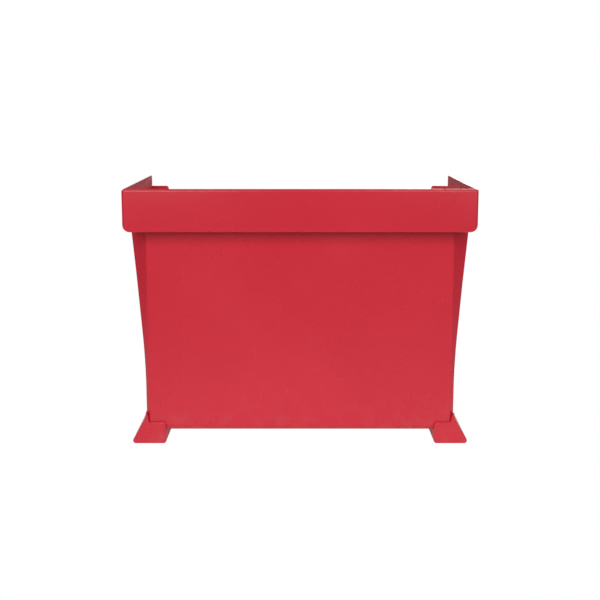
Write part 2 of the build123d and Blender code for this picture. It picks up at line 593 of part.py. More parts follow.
def placard_frame():
    """Moulded surround that holds the cover and the card against the front panel."""
    frame = facing(PLACARD_X, FRONT_FACE_Y, PLACARD_Z).location
    outer = extrude(RectangleRounded(PLACARD_W, PLACARD_H, 10), PLACARD_T)
    outer = fillet(outer.faces().sort_by(Axis.Z)[-1].edges(), 2)
    sight = Rectangle(PLACARD_W - 2 * PLACARD_BORDER, PLACARD_H - 2 * PLACARD_BORDER)
    outer -= extrude(sight, PLACARD_T + 1)
    pocket = Rectangle(PLACARD_W - 2 * PLACARD_BORDER + 8, PLACARD_H - 2 * PLACARD_BORDER + 8)
    outer -= extrude(pocket, CARD_T + COVER_T)
    solid = frame * outer
    for x, z in PLACARD_RIVETS:
        solid -= facing(x, FRONT_FACE_Y - PLACARD_T - 1, z).location * drum(1.6 + SEAT, PLACARD_T + 2)
    return solid


CARD_T = 1.0
COVER_T = 2.0


def placard_sheet(low, high):
    """A flat sheet in the placard frame's pocket, between two heights off the panel."""
    size = (PLACARD_W - 2 * PLACARD_BORDER + 7, PLACARD_H - 2 * PLACARD_BORDER + 7)
    sheet = extrude(Pos(0, 0, low) * Rectangle(*size), high - low)
    return facing(PLACARD_X, FRONT_FACE_Y, PLACARD_Z).location * sheet


def placard_rivets():
    """Blind rivets through frame and panel."""
    rivets = []
    for x, z in PLACARD_RIVETS:
        dome = Cylinder(3.2, 1.4, align=(Align.CENTER, Align.CENTER, Align.MIN))
        dome = fillet(dome.edges().group_by(Axis.Z)[-1], 0.6)
        shank = drum(1.6, PLACARD_T + PANEL_T + 1.5)
        rivets.append(facing(x, FRONT_FACE_Y - PLACARD_T, z).location * (dome + shank))
    return rivets


# Lid ----------------------------------------------------------------------------------------------

WINDOW_X = LID_HALF - WINDOW_BORDER
WINDOW_Y = (LID_FRONT + 62.0, LID_REAR - 40.0)
REBATE_TOP = LID_TOP - 4.0
STRIKE_X = HOUSING_X
HANDLE_Z = (LID_TOP + FLANGE_LOW) / 2
HANDLE_SCREW_X = HANDLE_LENGTH / 2 - 8.0


def lid_local(shape):
    """Move a shape from the lid's own frame into the box's frame."""
    return LID_FRAME.location * shape


def ring(half, y, border, z):
    """Flat rectangular ring, border wide, outer half-width and y span given."""
    outer = block((-half, half), y, z)
    hole_z = (z[0] - 1, z[1] + 1)
    return outer - block((-half + border, half - border), (y[0] + border, y[1] - border), hole_z)


def lid_frame():
    """Lid moulding: thick border, window opening with a rebate below, front flange turned down."""
    plate = block((-LID_HALF, LID_HALF), (LID_FRONT, LID_REAR), (LID_LOW, LID_TOP))
    plate = fillet(plate.edges().filter_by(Axis.Z), 6)
    flange = block((-LID_HALF + 1, LID_HALF - 1), (LID_FRONT, LID_FRONT + FLANGE_T),
                   (FLANGE_LOW, LID_TOP - 6))
    flange = fillet(flange.edges().filter_by(Axis.Y).group_by(Axis.Z)[0], 6)
    body = plate + flange
    body = fillet(body.faces().sort_by(Axis.Z)[-1].edges(), 2.5)
    body -= block((-WINDOW_X, WINDOW_X), WINDOW_Y, (LID_LOW - 1, LID_TOP + 1))
    rebate_y = (WINDOW_Y[0] - WINDOW_LIP, WINDOW_Y[1] + WINDOW_LIP)
    body -= block((-WINDOW_X - WINDOW_LIP, WINDOW_X + WINDOW_LIP), rebate_y, (LID_LOW - 1, REBATE_TOP))
    for place in HINGE_X:
        for x in hinge_screw_places(place):
            body -= Pos(x, LID_LEAF_Y, LID_TOP + 1) * drum(2 + SEAT, 9)
    for x, y in RETAINER_SCREWS:
        body -= Pos(x, y, REBATE_TOP - 1) * Cylinder(1.5 + SEAT, 4, align=(Align.CENTER, Align.CENTER, Align.MIN))
    for x in (-HANDLE_SCREW_X, HANDLE_SCREW_X):
        seat = Plane(origin=(x, LID_FRONT + FLANGE_T, HANDLE_Z), z_dir=(0, 1, 0)).location
        body -= seat * flush_hole(2, FLANGE_T + 9, 4)
    for x in STRIKE_SCREW_X:
        body -= Plane(origin=(x, LID_FRONT - 1, STRIKE_SCREW_Z), z_dir=(0, -1, 0)).location * drum(2 + SEAT, 4)
    return lid_local(body)


LID_LEAF_Y = LID_REAR - 9.0
RETAINER_HALF = WINDOW_X + WINDOW_LIP - 0.5
RETAINER_Y = (WINDOW_Y[0] - WINDOW_LIP + 0.5, WINDOW_Y[1] + WINDOW_LIP - 0.5)
RETAINER_SCREWS = [(x, y) for x in row(-RETAINER_HALF + 5, RETAINER_HALF - 5, 4)
                   for y in (RETAINER_Y[0] + 5, RETAINER_Y[1] - 5)]
STRIKE_SCREW_X = (STRIKE_X - 14.0, STRIKE_X + 14.0)
STRIKE_SCREW_Z = LID_TOP - 12.0


def lid_window():
    """Clear sheet in the lid's rebate."""
    half, y = RETAINER_HALF, RETAINER_Y
    sheet = block((-half, half), y, (REBATE_TOP - WINDOW_T, REBATE_TOP))
    for x, place in RETAINER_SCREWS:
        sheet -= Pos(x, place, REBATE_TOP + 1) * drum(1.5 + SEAT, WINDOW_T + 2)
    return lid_local(sheet)


def window_retainer():
    """Flat frame that clamps the clear sheet from below."""
    low = REBATE_TOP - WINDOW_T - RETAINER_T
    frame = ring(RETAINER_HALF, RETAINER_Y, WINDOW_LIP, (low, low + RETAINER_T))
    for x, y in RETAINER_SCREWS:
        frame -= Pos(x, y, low + RETAINER_T + 1) * drum(1.5 + SEAT, RETAINER_T + 2)
    return lid_local(frame)


def retainer_screws():
    """Small screws up through retainer and sheet into the lid frame."""
    low = REBATE_TOP - WINDOW_T - RETAINER_T
    screw = Rot(180, 0, 0) * cap_screw(1.5, RETAINER_T + WINDOW_T + 2.5, 2.8, 1.6)
    return [lid_local(Pos(x, y, low) * screw) for x, y in RETAINER_SCREWS]


def lid_seal():
    """Rubber strip around the paper opening, under the lid's border."""
    half = OPENING_HALF + 4 + SEAL_W
    y = (OPENING_FRONT - 4 - SEAL_W, OPENING_REAR + 4 + SEAL_W)
    strip = ring(half, y, SEAL_W, (-AXIS_HEIGHT, -AXIS_HEIGHT + SEAL_T))
    return lid_local(fillet(strip.faces().sort_by(Axis.Z)[-1].edges(), 0.8))


def knuckle(x, start, end, bore):
    """One hinge knuckle along x."""
    return rod((x + start, 0, 0), (x + end, 0, 0), KNUCKLE_R) - rod(
        (x + start - 1, 0, 0), (x + end + 1, 0, 0), bore)


def leaf(x, y):
    """Flat leaf with two countersunk screw seats, y span given."""
    plate = block((x - HINGE_LENGTH / 2, x + HINGE_LENGTH / 2), y, (-LEAF_T / 2, LEAF_T / 2))
    return plate


def hood_leaves():
    """Leaves on the hood's hinge blocks, each with two outer knuckles."""
    outer = HINGE_LENGTH / 2
    inner = outer - HINGE_LENGTH / 4
    pieces = []
    for x in HINGE_X:
        piece = leaf(x, (LID_TO_AXIS, HINGE_SETBACK - 1))
        for low, high in ((-outer, -inner), (inner, outer)):
            web = block((x + low, x + high), (0, LID_TO_AXIS + 1), (-LEAF_T / 2, LEAF_T / 2))
            piece += web + rod((x + low, 0, 0), (x + high, 0, 0), KNUCKLE_R)
        piece -= rod((x - outer - 1, 0, 0), (x + outer + 1, 0, 0), PIN_R + SEAT)
        for place in hinge_screw_places(x):
            piece -= Pos(place, (LID_TO_AXIS + HINGE_SETBACK) / 2, LEAF_T / 2 + 1) * drum(2 + SEAT, LEAF_T + 2)
        pieces.append(lid_local(piece))
    return pieces


def lid_leaves():
    """Leaves on the lid, each with one middle knuckle that turns on the pin."""
    inner = HINGE_LENGTH / 4 - KNUCKLE_GAP
    pieces = []
    for x in HINGE_X:
        piece = leaf(x, (LID_REAR - 18, LID_REAR + 0.5))
        web = block((x - inner, x + inner), (LID_REAR - 1, 0), (-LEAF_T / 2, LEAF_T / 2))
        piece += web + rod((x - inner, 0, 0), (x + inner, 0, 0), KNUCKLE_R)
        piece -= rod((x - inner - 1, 0, 0), (x + inner + 1, 0, 0), PIN_R + RUNNING_GAP)
        for place in hinge_screw_places(x):
            piece -= Pos(place, LID_LEAF_Y, LEAF_T / 2 + 1) * drum(2 + SEAT, LEAF_T + 2)
        pieces.append(lid_local(piece))
    return pieces


def hinge_pins():
    """Headed pins through the knuckles."""
    pins = []
    for x in HINGE_X:
        start = x - HINGE_LENGTH / 2
        pin = rod((start - 2, 0, 0), (x + HINGE_LENGTH / 2 + 1, 0, 0), PIN_R)
        pin += rod((start - 2, 0, 0), (start, 0, 0), KNUCKLE_R - 0.8)
        pins.append(lid_local(pin))
    return pins


def hinge_screws(y, length):
    """Low domed screws on a row of leaves at local y."""
    screw = cap_screw(2, length, 3.6, 1.8)
    return [lid_local(Pos(x, y, LEAF_T / 2) * screw) for place in HINGE_X for x in hinge_screw_places(place)]


def lid_handle():
    """Pull bar on two posts, on the lid's front flange."""
    half = HANDLE_LENGTH / 2
    bar_y = LID_FRONT - HANDLE_REACH + HANDLE_R
    bar = rod((-half, bar_y, HANDLE_Z), (half, bar_y, HANDLE_Z), HANDLE_R)
    bar = fillet(bar.edges(), HANDLE_R * 0.5)
    for x in (-HANDLE_SCREW_X, HANDLE_SCREW_X):
        bar += block((x - 6, x + 6), (bar_y, LID_FRONT), (HANDLE_Z - 5, HANDLE_Z + 5))
        seat = Plane(origin=(x, LID_FRONT + 1, HANDLE_Z), z_dir=(0, 1, 0)).location
        bar -= seat * drum(2 + SEAT, 14)
    return lid_local(bar)


def handle_screws():
    """Flush screws through the flange into the handle's posts."""
    screws = []
    for x in (-HANDLE_SCREW_X, HANDLE_SCREW_X):
        seat = Plane(origin=(x, LID_FRONT + FLANGE_T, HANDLE_Z), z_dir=(0, 1, 0)).location
        screws.append(lid_local(seat * flush_screw(2, FLANGE_T + 10, 4)))
    return screws


def lid_strike():
    """Bracket on the flange with a blade that drops into the coin housing and takes the latch bolt."""
    face = (STRIKE_MOUNT_Y, LID_FRONT)
    leg = block((STRIKE_X - 20, STRIKE_X + 20), face, (FLANGE_LOW, LID_TOP - 5))
    blade = block((STRIKE_X - STRIKE_T / 2, STRIKE_X + STRIKE_T / 2),
                  (STRIKE_MOUNT_Y - STRIKE_REACH, STRIKE_MOUNT_Y + 0.5), (-STRIKE_DROP, LID_TOP - 5))
    blade = fillet(blade.edges().filter_by(Axis.X), 1.5)
    eye = block((STRIKE_X - 5, STRIKE_X + 5), (BLADE_MID_Y - LATCH_W / 2 - 1, BLADE_MID_Y + LATCH_W / 2 + 1),
                (-LATCH_DROP - LATCH_W / 2 - 1, -LATCH_DROP + LATCH_W / 2 + 1))
    bracket = leg + blade - eye
    for x in STRIKE_SCREW_X:
        seat = Plane(origin=(x, STRIKE_MOUNT_Y - 1, STRIKE_SCREW_Z), z_dir=(0, -1, 0)).location
        bracket -= seat * drum(2 + SEAT, STRIKE_T + 2)
    return lid_local(bracket)


def strike_screws():
    """Screws that hold the strike to the lid's flange."""
    screws = []
    for x in STRIKE_SCREW_X:
        seat = Plane(origin=(x, STRIKE_MOUNT_Y, STRIKE_SCREW_Z), z_dir=(0, -1, 0)).location
        screws.append(lid_local(seat * cap_screw(2, STRIKE_T + 2.5, 3.6, 2)))
    return screws


# Coin housing -------------------------------------------------------------------------------------

INNER_FRONT_Y = HOUSING_FRONT_Y + HOUSING_WALL
INNER_REAR_Y = FRONT_FACE_Y - HOUSING_WALL
STRIKE_TIP = STRIKE_DROP * cos(SLOPE) - BLADE_MID_Y * sin(SLOPE)
STRIKE_ENGAGED = STRIKE_TIP - (AXIS_Z - HOUSING_TOP_Z)
STRIKE_SWING = STRIKE_TIP * STRIKE_ENGAGED / AXIS_RUN
SLOT_REAR_Y = LATCH_Y + STRIKE_REACH / 2 + 3
SLOT_FRONT_Y = LATCH_Y - STRIKE_REACH / 2 - STRIKE_SWING - 2
DRAWER_HALF = DRAWER_W / 2
CHUTE_W = 9.0
CHUTE_Y = (INNER_FRONT_Y, INNER_FRONT_Y + 36.0)
CHUTE_BOTTOM_Z = DRAWER_Z + TRAY_H + 14.0
CHUTE_TOP_Z = SLOT_Z + COIN_SLOT_H / 2 + 8.0
FACEPLATE_SCREWS = [(HOUSING_X + x, FACEPLATE_Z + z) for x in (-FACEPLATE_W / 2 + 8, FACEPLATE_W / 2 - 8)
                    for z in (-FACEPLATE_H / 2 + 8, FACEPLATE_H / 2 - 8)]


def cup_span():
    """X and Z of the coin return cup's mouth in the housing front."""
    return (CUP_X - CUP_W / 2, CUP_X + CUP_W / 2), (CUP_Z - CUP_H / 2, CUP_Z + CUP_H / 2)


def coin_housing():
    """Closed cast box bolted to the front panel."""
    outer = block((HOUSING_X - HOUSING_W / 2, HOUSING_X + HOUSING_W / 2), (HOUSING_FRONT_Y, FRONT_FACE_Y),
                  (HOUSING_BOTTOM_Z, HOUSING_TOP_Z))
    outer = fillet(outer.edges().filter_by(Axis.Z).group_by(Axis.Y)[0], 9)
    front_edges = outer.faces().sort_by(Axis.Z)[-1].edges().sort_by(Axis.Y)[:-1]
    outer = chamfer(front_edges, 1.5)
    inner = block((HOUSING_X - HOUSING_W / 2 + HOUSING_WALL, HOUSING_X + HOUSING_W / 2 - HOUSING_WALL),
                  (INNER_FRONT_Y, INNER_REAR_Y), (HOUSING_BOTTOM_Z + HOUSING_WALL, HOUSING_TOP_Z - HOUSING_WALL))
    inner = fillet(inner.edges().filter_by(Axis.Z).group_by(Axis.Y)[0], 6)
    body = outer - inner
    through = (HOUSING_FRONT_Y - 1, INNER_FRONT_Y + 1)
    cup_x, cup_z = cup_span()
    body -= block(cup_x, through, cup_z)
    body -= block((HOUSING_X - DRAWER_HALF, HOUSING_X + DRAWER_HALF), through, (DRAWER_Z, DRAWER_Z + DRAWER_H))
    slot_x = (STRIKE_X - STRIKE_T / 2 - 2, STRIKE_X + STRIKE_T / 2 + 2)
    body -= block(slot_x, (SLOT_FRONT_Y, SLOT_REAR_Y), (HOUSING_TOP_Z - 6, HOUSING_TOP_Z + 1))
    body -= block((SLOT_X - COIN_SLOT_W / 2, SLOT_X + COIN_SLOT_W / 2), through,
                  (SLOT_Z - COIN_SLOT_H / 2, SLOT_Z + COIN_SLOT_H / 2))
    body -= rod((BUTTON_X, through[0], BUTTON_Z), (BUTTON_X, through[1], BUTTON_Z), BUTTON_R - 2)
    for x, z in FACEPLATE_SCREWS:
        body -= facing(x, HOUSING_FRONT_Y - 1, z).location * drum(2 + SEAT, HOUSING_WALL + 2)
    for x, z in HOUSING_BOLTS:
        body -= facing(x, INNER_REAR_Y - 1, z).location * drum(3 + SEAT, HOUSING_WALL + 2)
    return body


def housing_bolts():
    """Bolts from inside the housing through the front panel."""
    return [facing(x, INNER_REAR_Y, z).location * cap_screw(3, 16, 5.5, 4) for x, z in HOUSING_BOLTS]


def housing_nuts():
    """Nuts behind the front panel."""
    nut = extrude(RegularPolygon(5.6, 6) - Circle(3 + SEAT), -4.5)
    return [facing(x, BODY_FRONT_Y, z).location * nut for x, z in HOUSING_BOLTS]


def coin_faceplate():
    """Stainless plate with the coin slot and the return button's bezel."""
    plate = extrude(RectangleRounded(FACEPLATE_W, FACEPLATE_H, 5), FACEPLATE_T)
    plate = facing(HOUSING_X, HOUSING_FRONT_Y, FACEPLATE_Z).location * plate
    bezel = rod((BUTTON_X, HOUSING_FRONT_Y, BUTTON_Z), (BUTTON_X, HOUSING_FRONT_Y - FACEPLATE_T - 3, BUTTON_Z),
                BUTTON_R + 4)
    bezel = chamfer(bezel.edges().group_by(Axis.Y)[0], 1.2)
    surround = facing(SLOT_X, HOUSING_FRONT_Y - FACEPLATE_T, SLOT_Z).location * extrude(
        RectangleRounded(16, COIN_SLOT_H + 14, 6), 2.5)
    plate += bezel + surround
    through = (HOUSING_FRONT_Y - 12, HOUSING_FRONT_Y + 1)
    plate -= block((SLOT_X - COIN_SLOT_W / 2, SLOT_X + COIN_SLOT_W / 2), through,
                   (SLOT_Z - COIN_SLOT_H / 2, SLOT_Z + COIN_SLOT_H / 2))
    plate -= rod((BUTTON_X, through[0], BUTTON_Z), (BUTTON_X, through[1], BUTTON_Z), BUTTON_R + 0.35)
    for x, z in FACEPLATE_SCREWS:
        plate -= facing(x, through[0], z).location * drum(2 + SEAT, 16)
    return plate


def faceplate_screws():
    """Domed security screws at the plate's corners."""
    face = HOUSING_FRONT_Y - FACEPLATE_T
    return [facing(x, face, z).location * cap_screw(2, 10, 4.2, 2.4) for x, z in FACEPLATE_SCREWS]


def return_button():
    """Coin return button: cap in the bezel, thin stem through the housing wall."""
    tip = HOUSING_FRONT_Y - FACEPLATE_T - 3 - BUTTON_TRAVEL - 1
    shoulder = HOUSING_FRONT_Y - BUTTON_TRAVEL - 0.5
    cap = rod((BUTTON_X, tip, BUTTON_Z), (BUTTON_X, shoulder, BUTTON_Z), BUTTON_R)
    cap = fillet(cap.edges().group_by(Axis.Y)[0], 1.5)
    stem = rod((BUTTON_X, shoulder - 1, BUTTON_Z), (BUTTON_X, INNER_FRONT_Y + 14, BUTTON_Z), 3)
    collar = rod((BUTTON_X, INNER_FRONT_Y + 0.5, BUTTON_Z), (BUTTON_X, INNER_FRONT_Y + 2.5, BUTTON_Z),
                 BUTTON_R - 0.5)
    return cap + stem + collar


def coin_chute():
    """Upright coin channel with a side branch down to the return cup."""
    half = CHUTE_W / 2
    wall = 1.5
    outer = block((SLOT_X - half, SLOT_X + half), CHUTE_Y, (CHUTE_BOTTOM_Z, CHUTE_TOP_Z))
    inner_y = (CHUTE_Y[0] + wall, CHUTE_Y[1] - wall)
    inner = block((SLOT_X - half + wall, SLOT_X + half - wall), inner_y, (CHUTE_BOTTOM_Z - 1, CHUTE_TOP_Z - wall))
    cup_x, cup_z = cup_span()
    branch_top = cup_z[1] + 44
    lip = cup_z[1] + HOUSING_WALL_CUP
    start = SLOT_X + half - wall
    run = cup_x[0] + 16
    slide = [(start, branch_top), (start, branch_top - 14), (run - 12, lip + 4), (run - 12, lip),
             (run, lip), (run, lip + 9)]
    side = make_face(Polyline(*slide, close=True))
    branch = extrude(Plane.XZ.offset(-CHUTE_Y[1]) * side, CHUTE_Y[1] - CHUTE_Y[0])
    hollow = [(start - 1, branch_top - wall * 1.6), (start - 1, branch_top - 12), (run - 10, lip + 3.4),
              (run - 10, lip - 1), (run - wall, lip - 1), (run - wall, lip + 8)]
    gap = make_face(Polyline(*hollow, close=True))
    tunnel = extrude(Plane.XZ.offset(-inner_y[1]) * gap, inner_y[1] - inner_y[0])
    chute = outer + branch - inner - tunnel
    mouth = (CHUTE_Y[0] - 1, CHUTE_Y[0] + wall + 1)
    chute -= block((SLOT_X - half + wall, SLOT_X + half - wall), mouth,
                   (SLOT_Z - COIN_SLOT_H / 2 - 1, SLOT_Z + COIN_SLOT_H / 2 + 1))
    return chute


HOUSING_WALL_CUP = 1.5


def return_cup():
    """Pressed pocket behind the return mouth, with pivot holes for the flap."""
    cup_x, cup_z = cup_span()
    wall = HOUSING_WALL_CUP
    outer = block((cup_x[0] - wall, cup_x[1] + wall), (INNER_FRONT_Y, INNER_FRONT_Y + CUP_DEPTH),
                  (cup_z[0] - wall, cup_z[1] + wall))
    inner = block(cup_x, (INNER_FRONT_Y - 1, INNER_FRONT_Y + CUP_DEPTH - wall), cup_z)
    cup = outer - inner
    fall = cup_x[0] + 16
    cup -= block((fall - 10, fall - 1.5), (CHUTE_Y[0] + 1.5, CHUTE_Y[1] - 1.5), (cup_z[1] - 1, cup_z[1] + wall + 1))
    cup -= rod((cup_x[0] - 5, FLAP_AXIS_Y, FLAP_AXIS_Z), (cup_x[1] + 5, FLAP_AXIS_Y, FLAP_AXIS_Z), 1.5)
    return cup


FLAP_AXIS_Y = INNER_FRONT_Y + 4.0
FLAP_AXIS_Z = CUP_Z + CUP_H / 2 - 4.0
FLAP_PIN_R = 1.45


def return_flap():
    """Door in the return mouth, with a pivot rod along its top edge."""
    cup_x, cup_z = cup_span()
    half = CUP_W / 2 - 0.6
    plate = block((CUP_X - half, CUP_X + half), (FLAP_AXIS_Y - 4, FLAP_AXIS_Y - 4 + FLAP_T),
                  (cup_z[0] + 1, FLAP_AXIS_Z - 1))
    barrel = rod((CUP_X - half, FLAP_AXIS_Y, FLAP_AXIS_Z), (CUP_X + half, FLAP_AXIS_Y, FLAP_AXIS_Z), 3)
    web = block((CUP_X - half, CUP_X + half), (FLAP_AXIS_Y - 4, FLAP_AXIS_Y), (FLAP_AXIS_Z - 3, FLAP_AXIS_Z))
    reach = CUP_W / 2 + HOUSING_WALL_CUP
    pivot = rod((CUP_X - reach, FLAP_AXIS_Y, FLAP_AXIS_Z), (CUP_X + reach, FLAP_AXIS_Y, FLAP_AXIS_Z), FLAP_PIN_R)
    lip = block((CUP_X - 14, CUP_X + 14), (FLAP_AXIS_Y - 6.5, FLAP_AXIS_Y - 3), (cup_z[0] + 5, cup_z[0] + 9))
    return plate + barrel + web + pivot + lip


def latch_guide():
    """Block on the housing's rear wall that carries the latch bolt on both sides of the strike."""
    reach = LATCH_W / 2
    spans = ((LATCH_REST_X + 3, LATCH_REST_X + 11), (LATCH_REST_X + 22, LATCH_REST_X + 30),
             (STRIKE_X - STRIKE_T / 2 - 11, STRIKE_X - STRIKE_T / 2 - 3))
    whole = (spans[2][0], spans[1][1])
    base = block(whole, (INNER_REAR_Y - 3, INNER_REAR_Y), (LATCH_Z - reach - 6, LATCH_Z + reach + 6))
    base -= block((STRIKE_X - 8, STRIKE_X + 8), (INNER_REAR_Y - 4, INNER_REAR_Y + 1),
                  (LATCH_Z - reach - 2, HEIGHT))
    for span in spans:
        ear = block(span, (LATCH_Y - reach - 4, INNER_REAR_Y - 2), (LATCH_Z - reach - 4, LATCH_Z + reach + 4))
        base += fillet(ear.edges().filter_by(Axis.X).group_by(Axis.Y)[0], 2)
    gap = reach + 0.35
    base -= block((whole[0] - 1, whole[1] + 1), (LATCH_Y - gap, LATCH_Y + gap), (LATCH_Z - gap, LATCH_Z + gap))
    return base


def latch_bolt():
    """Square bolt that slides through the strike's eye."""
    reach = LATCH_W / 2
    bolt = block((LATCH_REST_X, LATCH_REST_X + LATCH_LENGTH), (LATCH_Y - reach, LATCH_Y + reach),
                 (LATCH_Z - reach, LATCH_Z + reach))
    return chamfer(bolt.faces().sort_by(Axis.X)[0].edges(), 1.2)


SLEEVE_HALF = DRAWER_HALF
SLEEVE_REAR_Y = INNER_REAR_Y - 2.0
TRAY_HALF = SLEEVE_HALF - SLEEVE_T - SLIDE_GAP
TRAY_BOTTOM_Z = DRAWER_Z + SLEEVE_T + SLIDE_GAP
DRAWER_FACE_Y = HOUSING_FRONT_Y - 0.4
DRAWER_FACE_T = 3.5
LOCK_Z = DRAWER_Z + DRAWER_H - LOCK_DROP
LOCK_X = HOUSING_X


def cash_sleeve():
    """Folded channel that guides the coin drawer inside the housing."""
    top = DRAWER_Z + TRAY_H + 4
    outer = block((HOUSING_X - SLEEVE_HALF, HOUSING_X + SLEEVE_HALF), (HOUSING_FRONT_Y + 0.5, INNER_REAR_Y),
                  (DRAWER_Z, top))
    inner = block((HOUSING_X - SLEEVE_HALF + SLEEVE_T, HOUSING_X + SLEEVE_HALF - SLEEVE_T),
                  (HOUSING_FRONT_Y - 1, INNER_REAR_Y - SLEEVE_T), (DRAWER_Z + SLEEVE_T, top + 1))
    under = block((HOUSING_X - 20, HOUSING_X + 20), (INNER_FRONT_Y, INNER_REAR_Y),
                  (HOUSING_BOTTOM_Z + HOUSING_WALL, DRAWER_Z))
    return outer - inner + under


def cash_drawer():
    """Coin tray with a face that covers the opening and carries the lock."""
    face = block((HOUSING_X - DRAWER_HALF - 2, HOUSING_X + DRAWER_HALF + 2),
                 (DRAWER_FACE_Y - DRAWER_FACE_T, DRAWER_FACE_Y), (DRAWER_Z - 3, DRAWER_Z + DRAWER_H + 3))
    face = fillet(face.edges().filter_by(Axis.Y), 5)
    face = fillet(face.faces().sort_by(Axis.Y)[0].edges(), 1)
    rear = INNER_REAR_Y - SLEEVE_T - 1.5
    outer = block((HOUSING_X - TRAY_HALF, HOUSING_X + TRAY_HALF), (DRAWER_FACE_Y - 1, rear),
                  (TRAY_BOTTOM_Z, TRAY_BOTTOM_Z + TRAY_H))
    inner = block((HOUSING_X - TRAY_HALF + 2, HOUSING_X + TRAY_HALF - 2), (DRAWER_FACE_Y, rear - 2),
                  (TRAY_BOTTOM_Z + 2, TRAY_BOTTOM_Z + TRAY_H + 1))
    drawer = face + (outer - inner)
    drawer -= rod((LOCK_X, DRAWER_FACE_Y - 10, LOCK_Z), (LOCK_X, DRAWER_FACE_Y + 10, LOCK_Z), BARREL_R + SEAT)
    return drawer


BARREL_R = 8.0
BARREL_END_Y = DRAWER_FACE_Y + 2.2


def lock_barrel():
    """Lock body in the drawer face: flange outside, bore for the plug."""
    flange = rod((LOCK_X, DRAWER_FACE_Y - DRAWER_FACE_T - 2, LOCK_Z), (LOCK_X, DRAWER_FACE_Y - DRAWER_FACE_T, LOCK_Z),
                 BARREL_R + 3)
    flange = fillet(flange.edges().group_by(Axis.Y)[0], 1)
    sleeve = rod((LOCK_X, DRAWER_FACE_Y - DRAWER_FACE_T, LOCK_Z), (LOCK_X, BARREL_END_Y, LOCK_Z), BARREL_R)
    return flange + sleeve - rod((LOCK_X, DRAWER_FACE_Y - 12, LOCK_Z), (LOCK_X, BARREL_END_Y + 1, LOCK_Z),
                                 LOCK_R + RUNNING_GAP)


def lock_plug():
    """Plug with a key slit, and the cam on its inner end."""
    front = DRAWER_FACE_Y - DRAWER_FACE_T - 1.6
    plug = rod((LOCK_X, front, LOCK_Z), (LOCK_X, BARREL_END_Y + 2, LOCK_Z), LOCK_R)
    return plug - block((LOCK_X - 0.8, LOCK_X + 0.8), (front - 1, front + 5), (LOCK_Z - 3.5, LOCK_Z + 3.5))


def lock_cam():
    """Cam plate screwed to the plug; it points along +X when the lock is open."""
    low = BARREL_END_Y + 2
    plate = block((LOCK_X - 7, LOCK_X + LOCK_DROP + CAM_CATCH), (low, low + 2), (LOCK_Z - 7, LOCK_Z + 7))
    plate = fillet(plate.edges().filter_by(Axis.Y), 5)
    nut = facing(LOCK_X, low + 5, LOCK_Z).location * extrude(RegularPolygon(5, 6), 3)
    return plate + nut


def return_spring():
    """Coil spring between the housing wall's inside and the button's collar, drawn as its sleeve."""
    start, end = INNER_FRONT_Y + 2.5, INNER_FRONT_Y + 12
    outer = rod((BUTTON_X, start, BUTTON_Z), (BUTTON_X, end, BUTTON_Z), 5)
    return outer - rod((BUTTON_X, start - 1, BUTTON_Z), (BUTTON_X, end + 1, BUTTON_Z), 4)


def spring_bracket():
    """Angle on the housing's inside wall that the button's spring pushes against."""
    back = INNER_FRONT_Y + 12
    plate = block((BUTTON_X - 9, BUTTON_X + 9), (back, back + 1.5), (BUTTON_Z - 9, BUTTON_Z + 9))
    for side in (-1, 1):
        x = sorted((BUTTON_X + side * 9, BUTTON_X + side * 10.5))
        plate += block(x, (INNER_FRONT_Y, back + 1.5), (BUTTON_Z - 9, BUTTON_Z + 9))
    return plate - rod((BUTTON_X, back - 1, BUTTON_Z), (BUTTON_X, back + 3, BUTTON_Z), 3.4)


def main():
    os.makedirs("parts", exist_ok=True)
    right = runner()
    nodes = {
        "cabinet_shell": cabinet_shell(),
        "hood": hood(),
        "hood_screws": hood_screws(),
        "hood_nuts": hood_nuts(),
        "runner_right": right,
        "runner_left": mirror(right, Plane.YZ),
        "foot_pads": foot_pads(),
        "ballast_plate": ballast_plate(),
        "runner_bolts": runner_bolts(),
        "runner_nuts": runner_nuts(),
        "paper_shelf": paper_shelf(),
        "shelf_edges": shelf_edges(),
        "shelf_legs": shelf_legs(),
        "shelf_screws": shelf_screws(),
        "front_panel": front_panel(),
        "front_panel_screws": front_panel_screws(),
        "placard_frame": placard_frame(),
        "placard_card": placard_sheet(0, CARD_T),
        "placard_cover": placard_sheet(CARD_T, CARD_T + COVER_T),
        "placard_rivets": placard_rivets(),
        "lid_seal": lid_seal(),
        "lid_frame": lid_frame(),
        "lid_window": lid_window(),
        "window_retainer": window_retainer(),
        "retainer_screws": retainer_screws(),
        "hinge_leaves_hood": hood_leaves(),
        "hinge_leaves_lid": lid_leaves(),
        "hinge_pins": hinge_pins(),
        "hinge_screws_hood": hinge_screws((LID_TO_AXIS + HINGE_SETBACK) / 2, 12),
        "hinge_screws_lid": hinge_screws(LID_LEAF_Y, 9),
        "lid_handle": lid_handle(),
        "handle_screws": handle_screws(),
        "lid_strike": lid_strike(),
        "strike_screws": strike_screws(),
        "coin_housing": coin_housing(),
        "housing_bolts": housing_bolts(),
        "housing_nuts": housing_nuts(),
        "coin_faceplate": coin_faceplate(),
        "faceplate_screws": faceplate_screws(),
        "return_button": return_button(),
        "return_spring": return_spring(),
        "spring_bracket": spring_bracket(),
        "coin_chute": coin_chute(),
        "return_cup": return_cup(),
        "return_flap": return_flap(),
        "latch_guide": latch_guide(),
        "latch_bolt": latch_bolt(),
        "cash_sleeve": cash_sleeve(),
        "cash_drawer": cash_drawer(),
        "lock_barrel": lock_barrel(),
        "lock_plug": lock_plug(),
        "lock_cam": lock_cam(),
    }
    for name, pieces in nodes.items():
        save(name, pieces)


main()
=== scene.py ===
import json
from math import cos, radians, sin

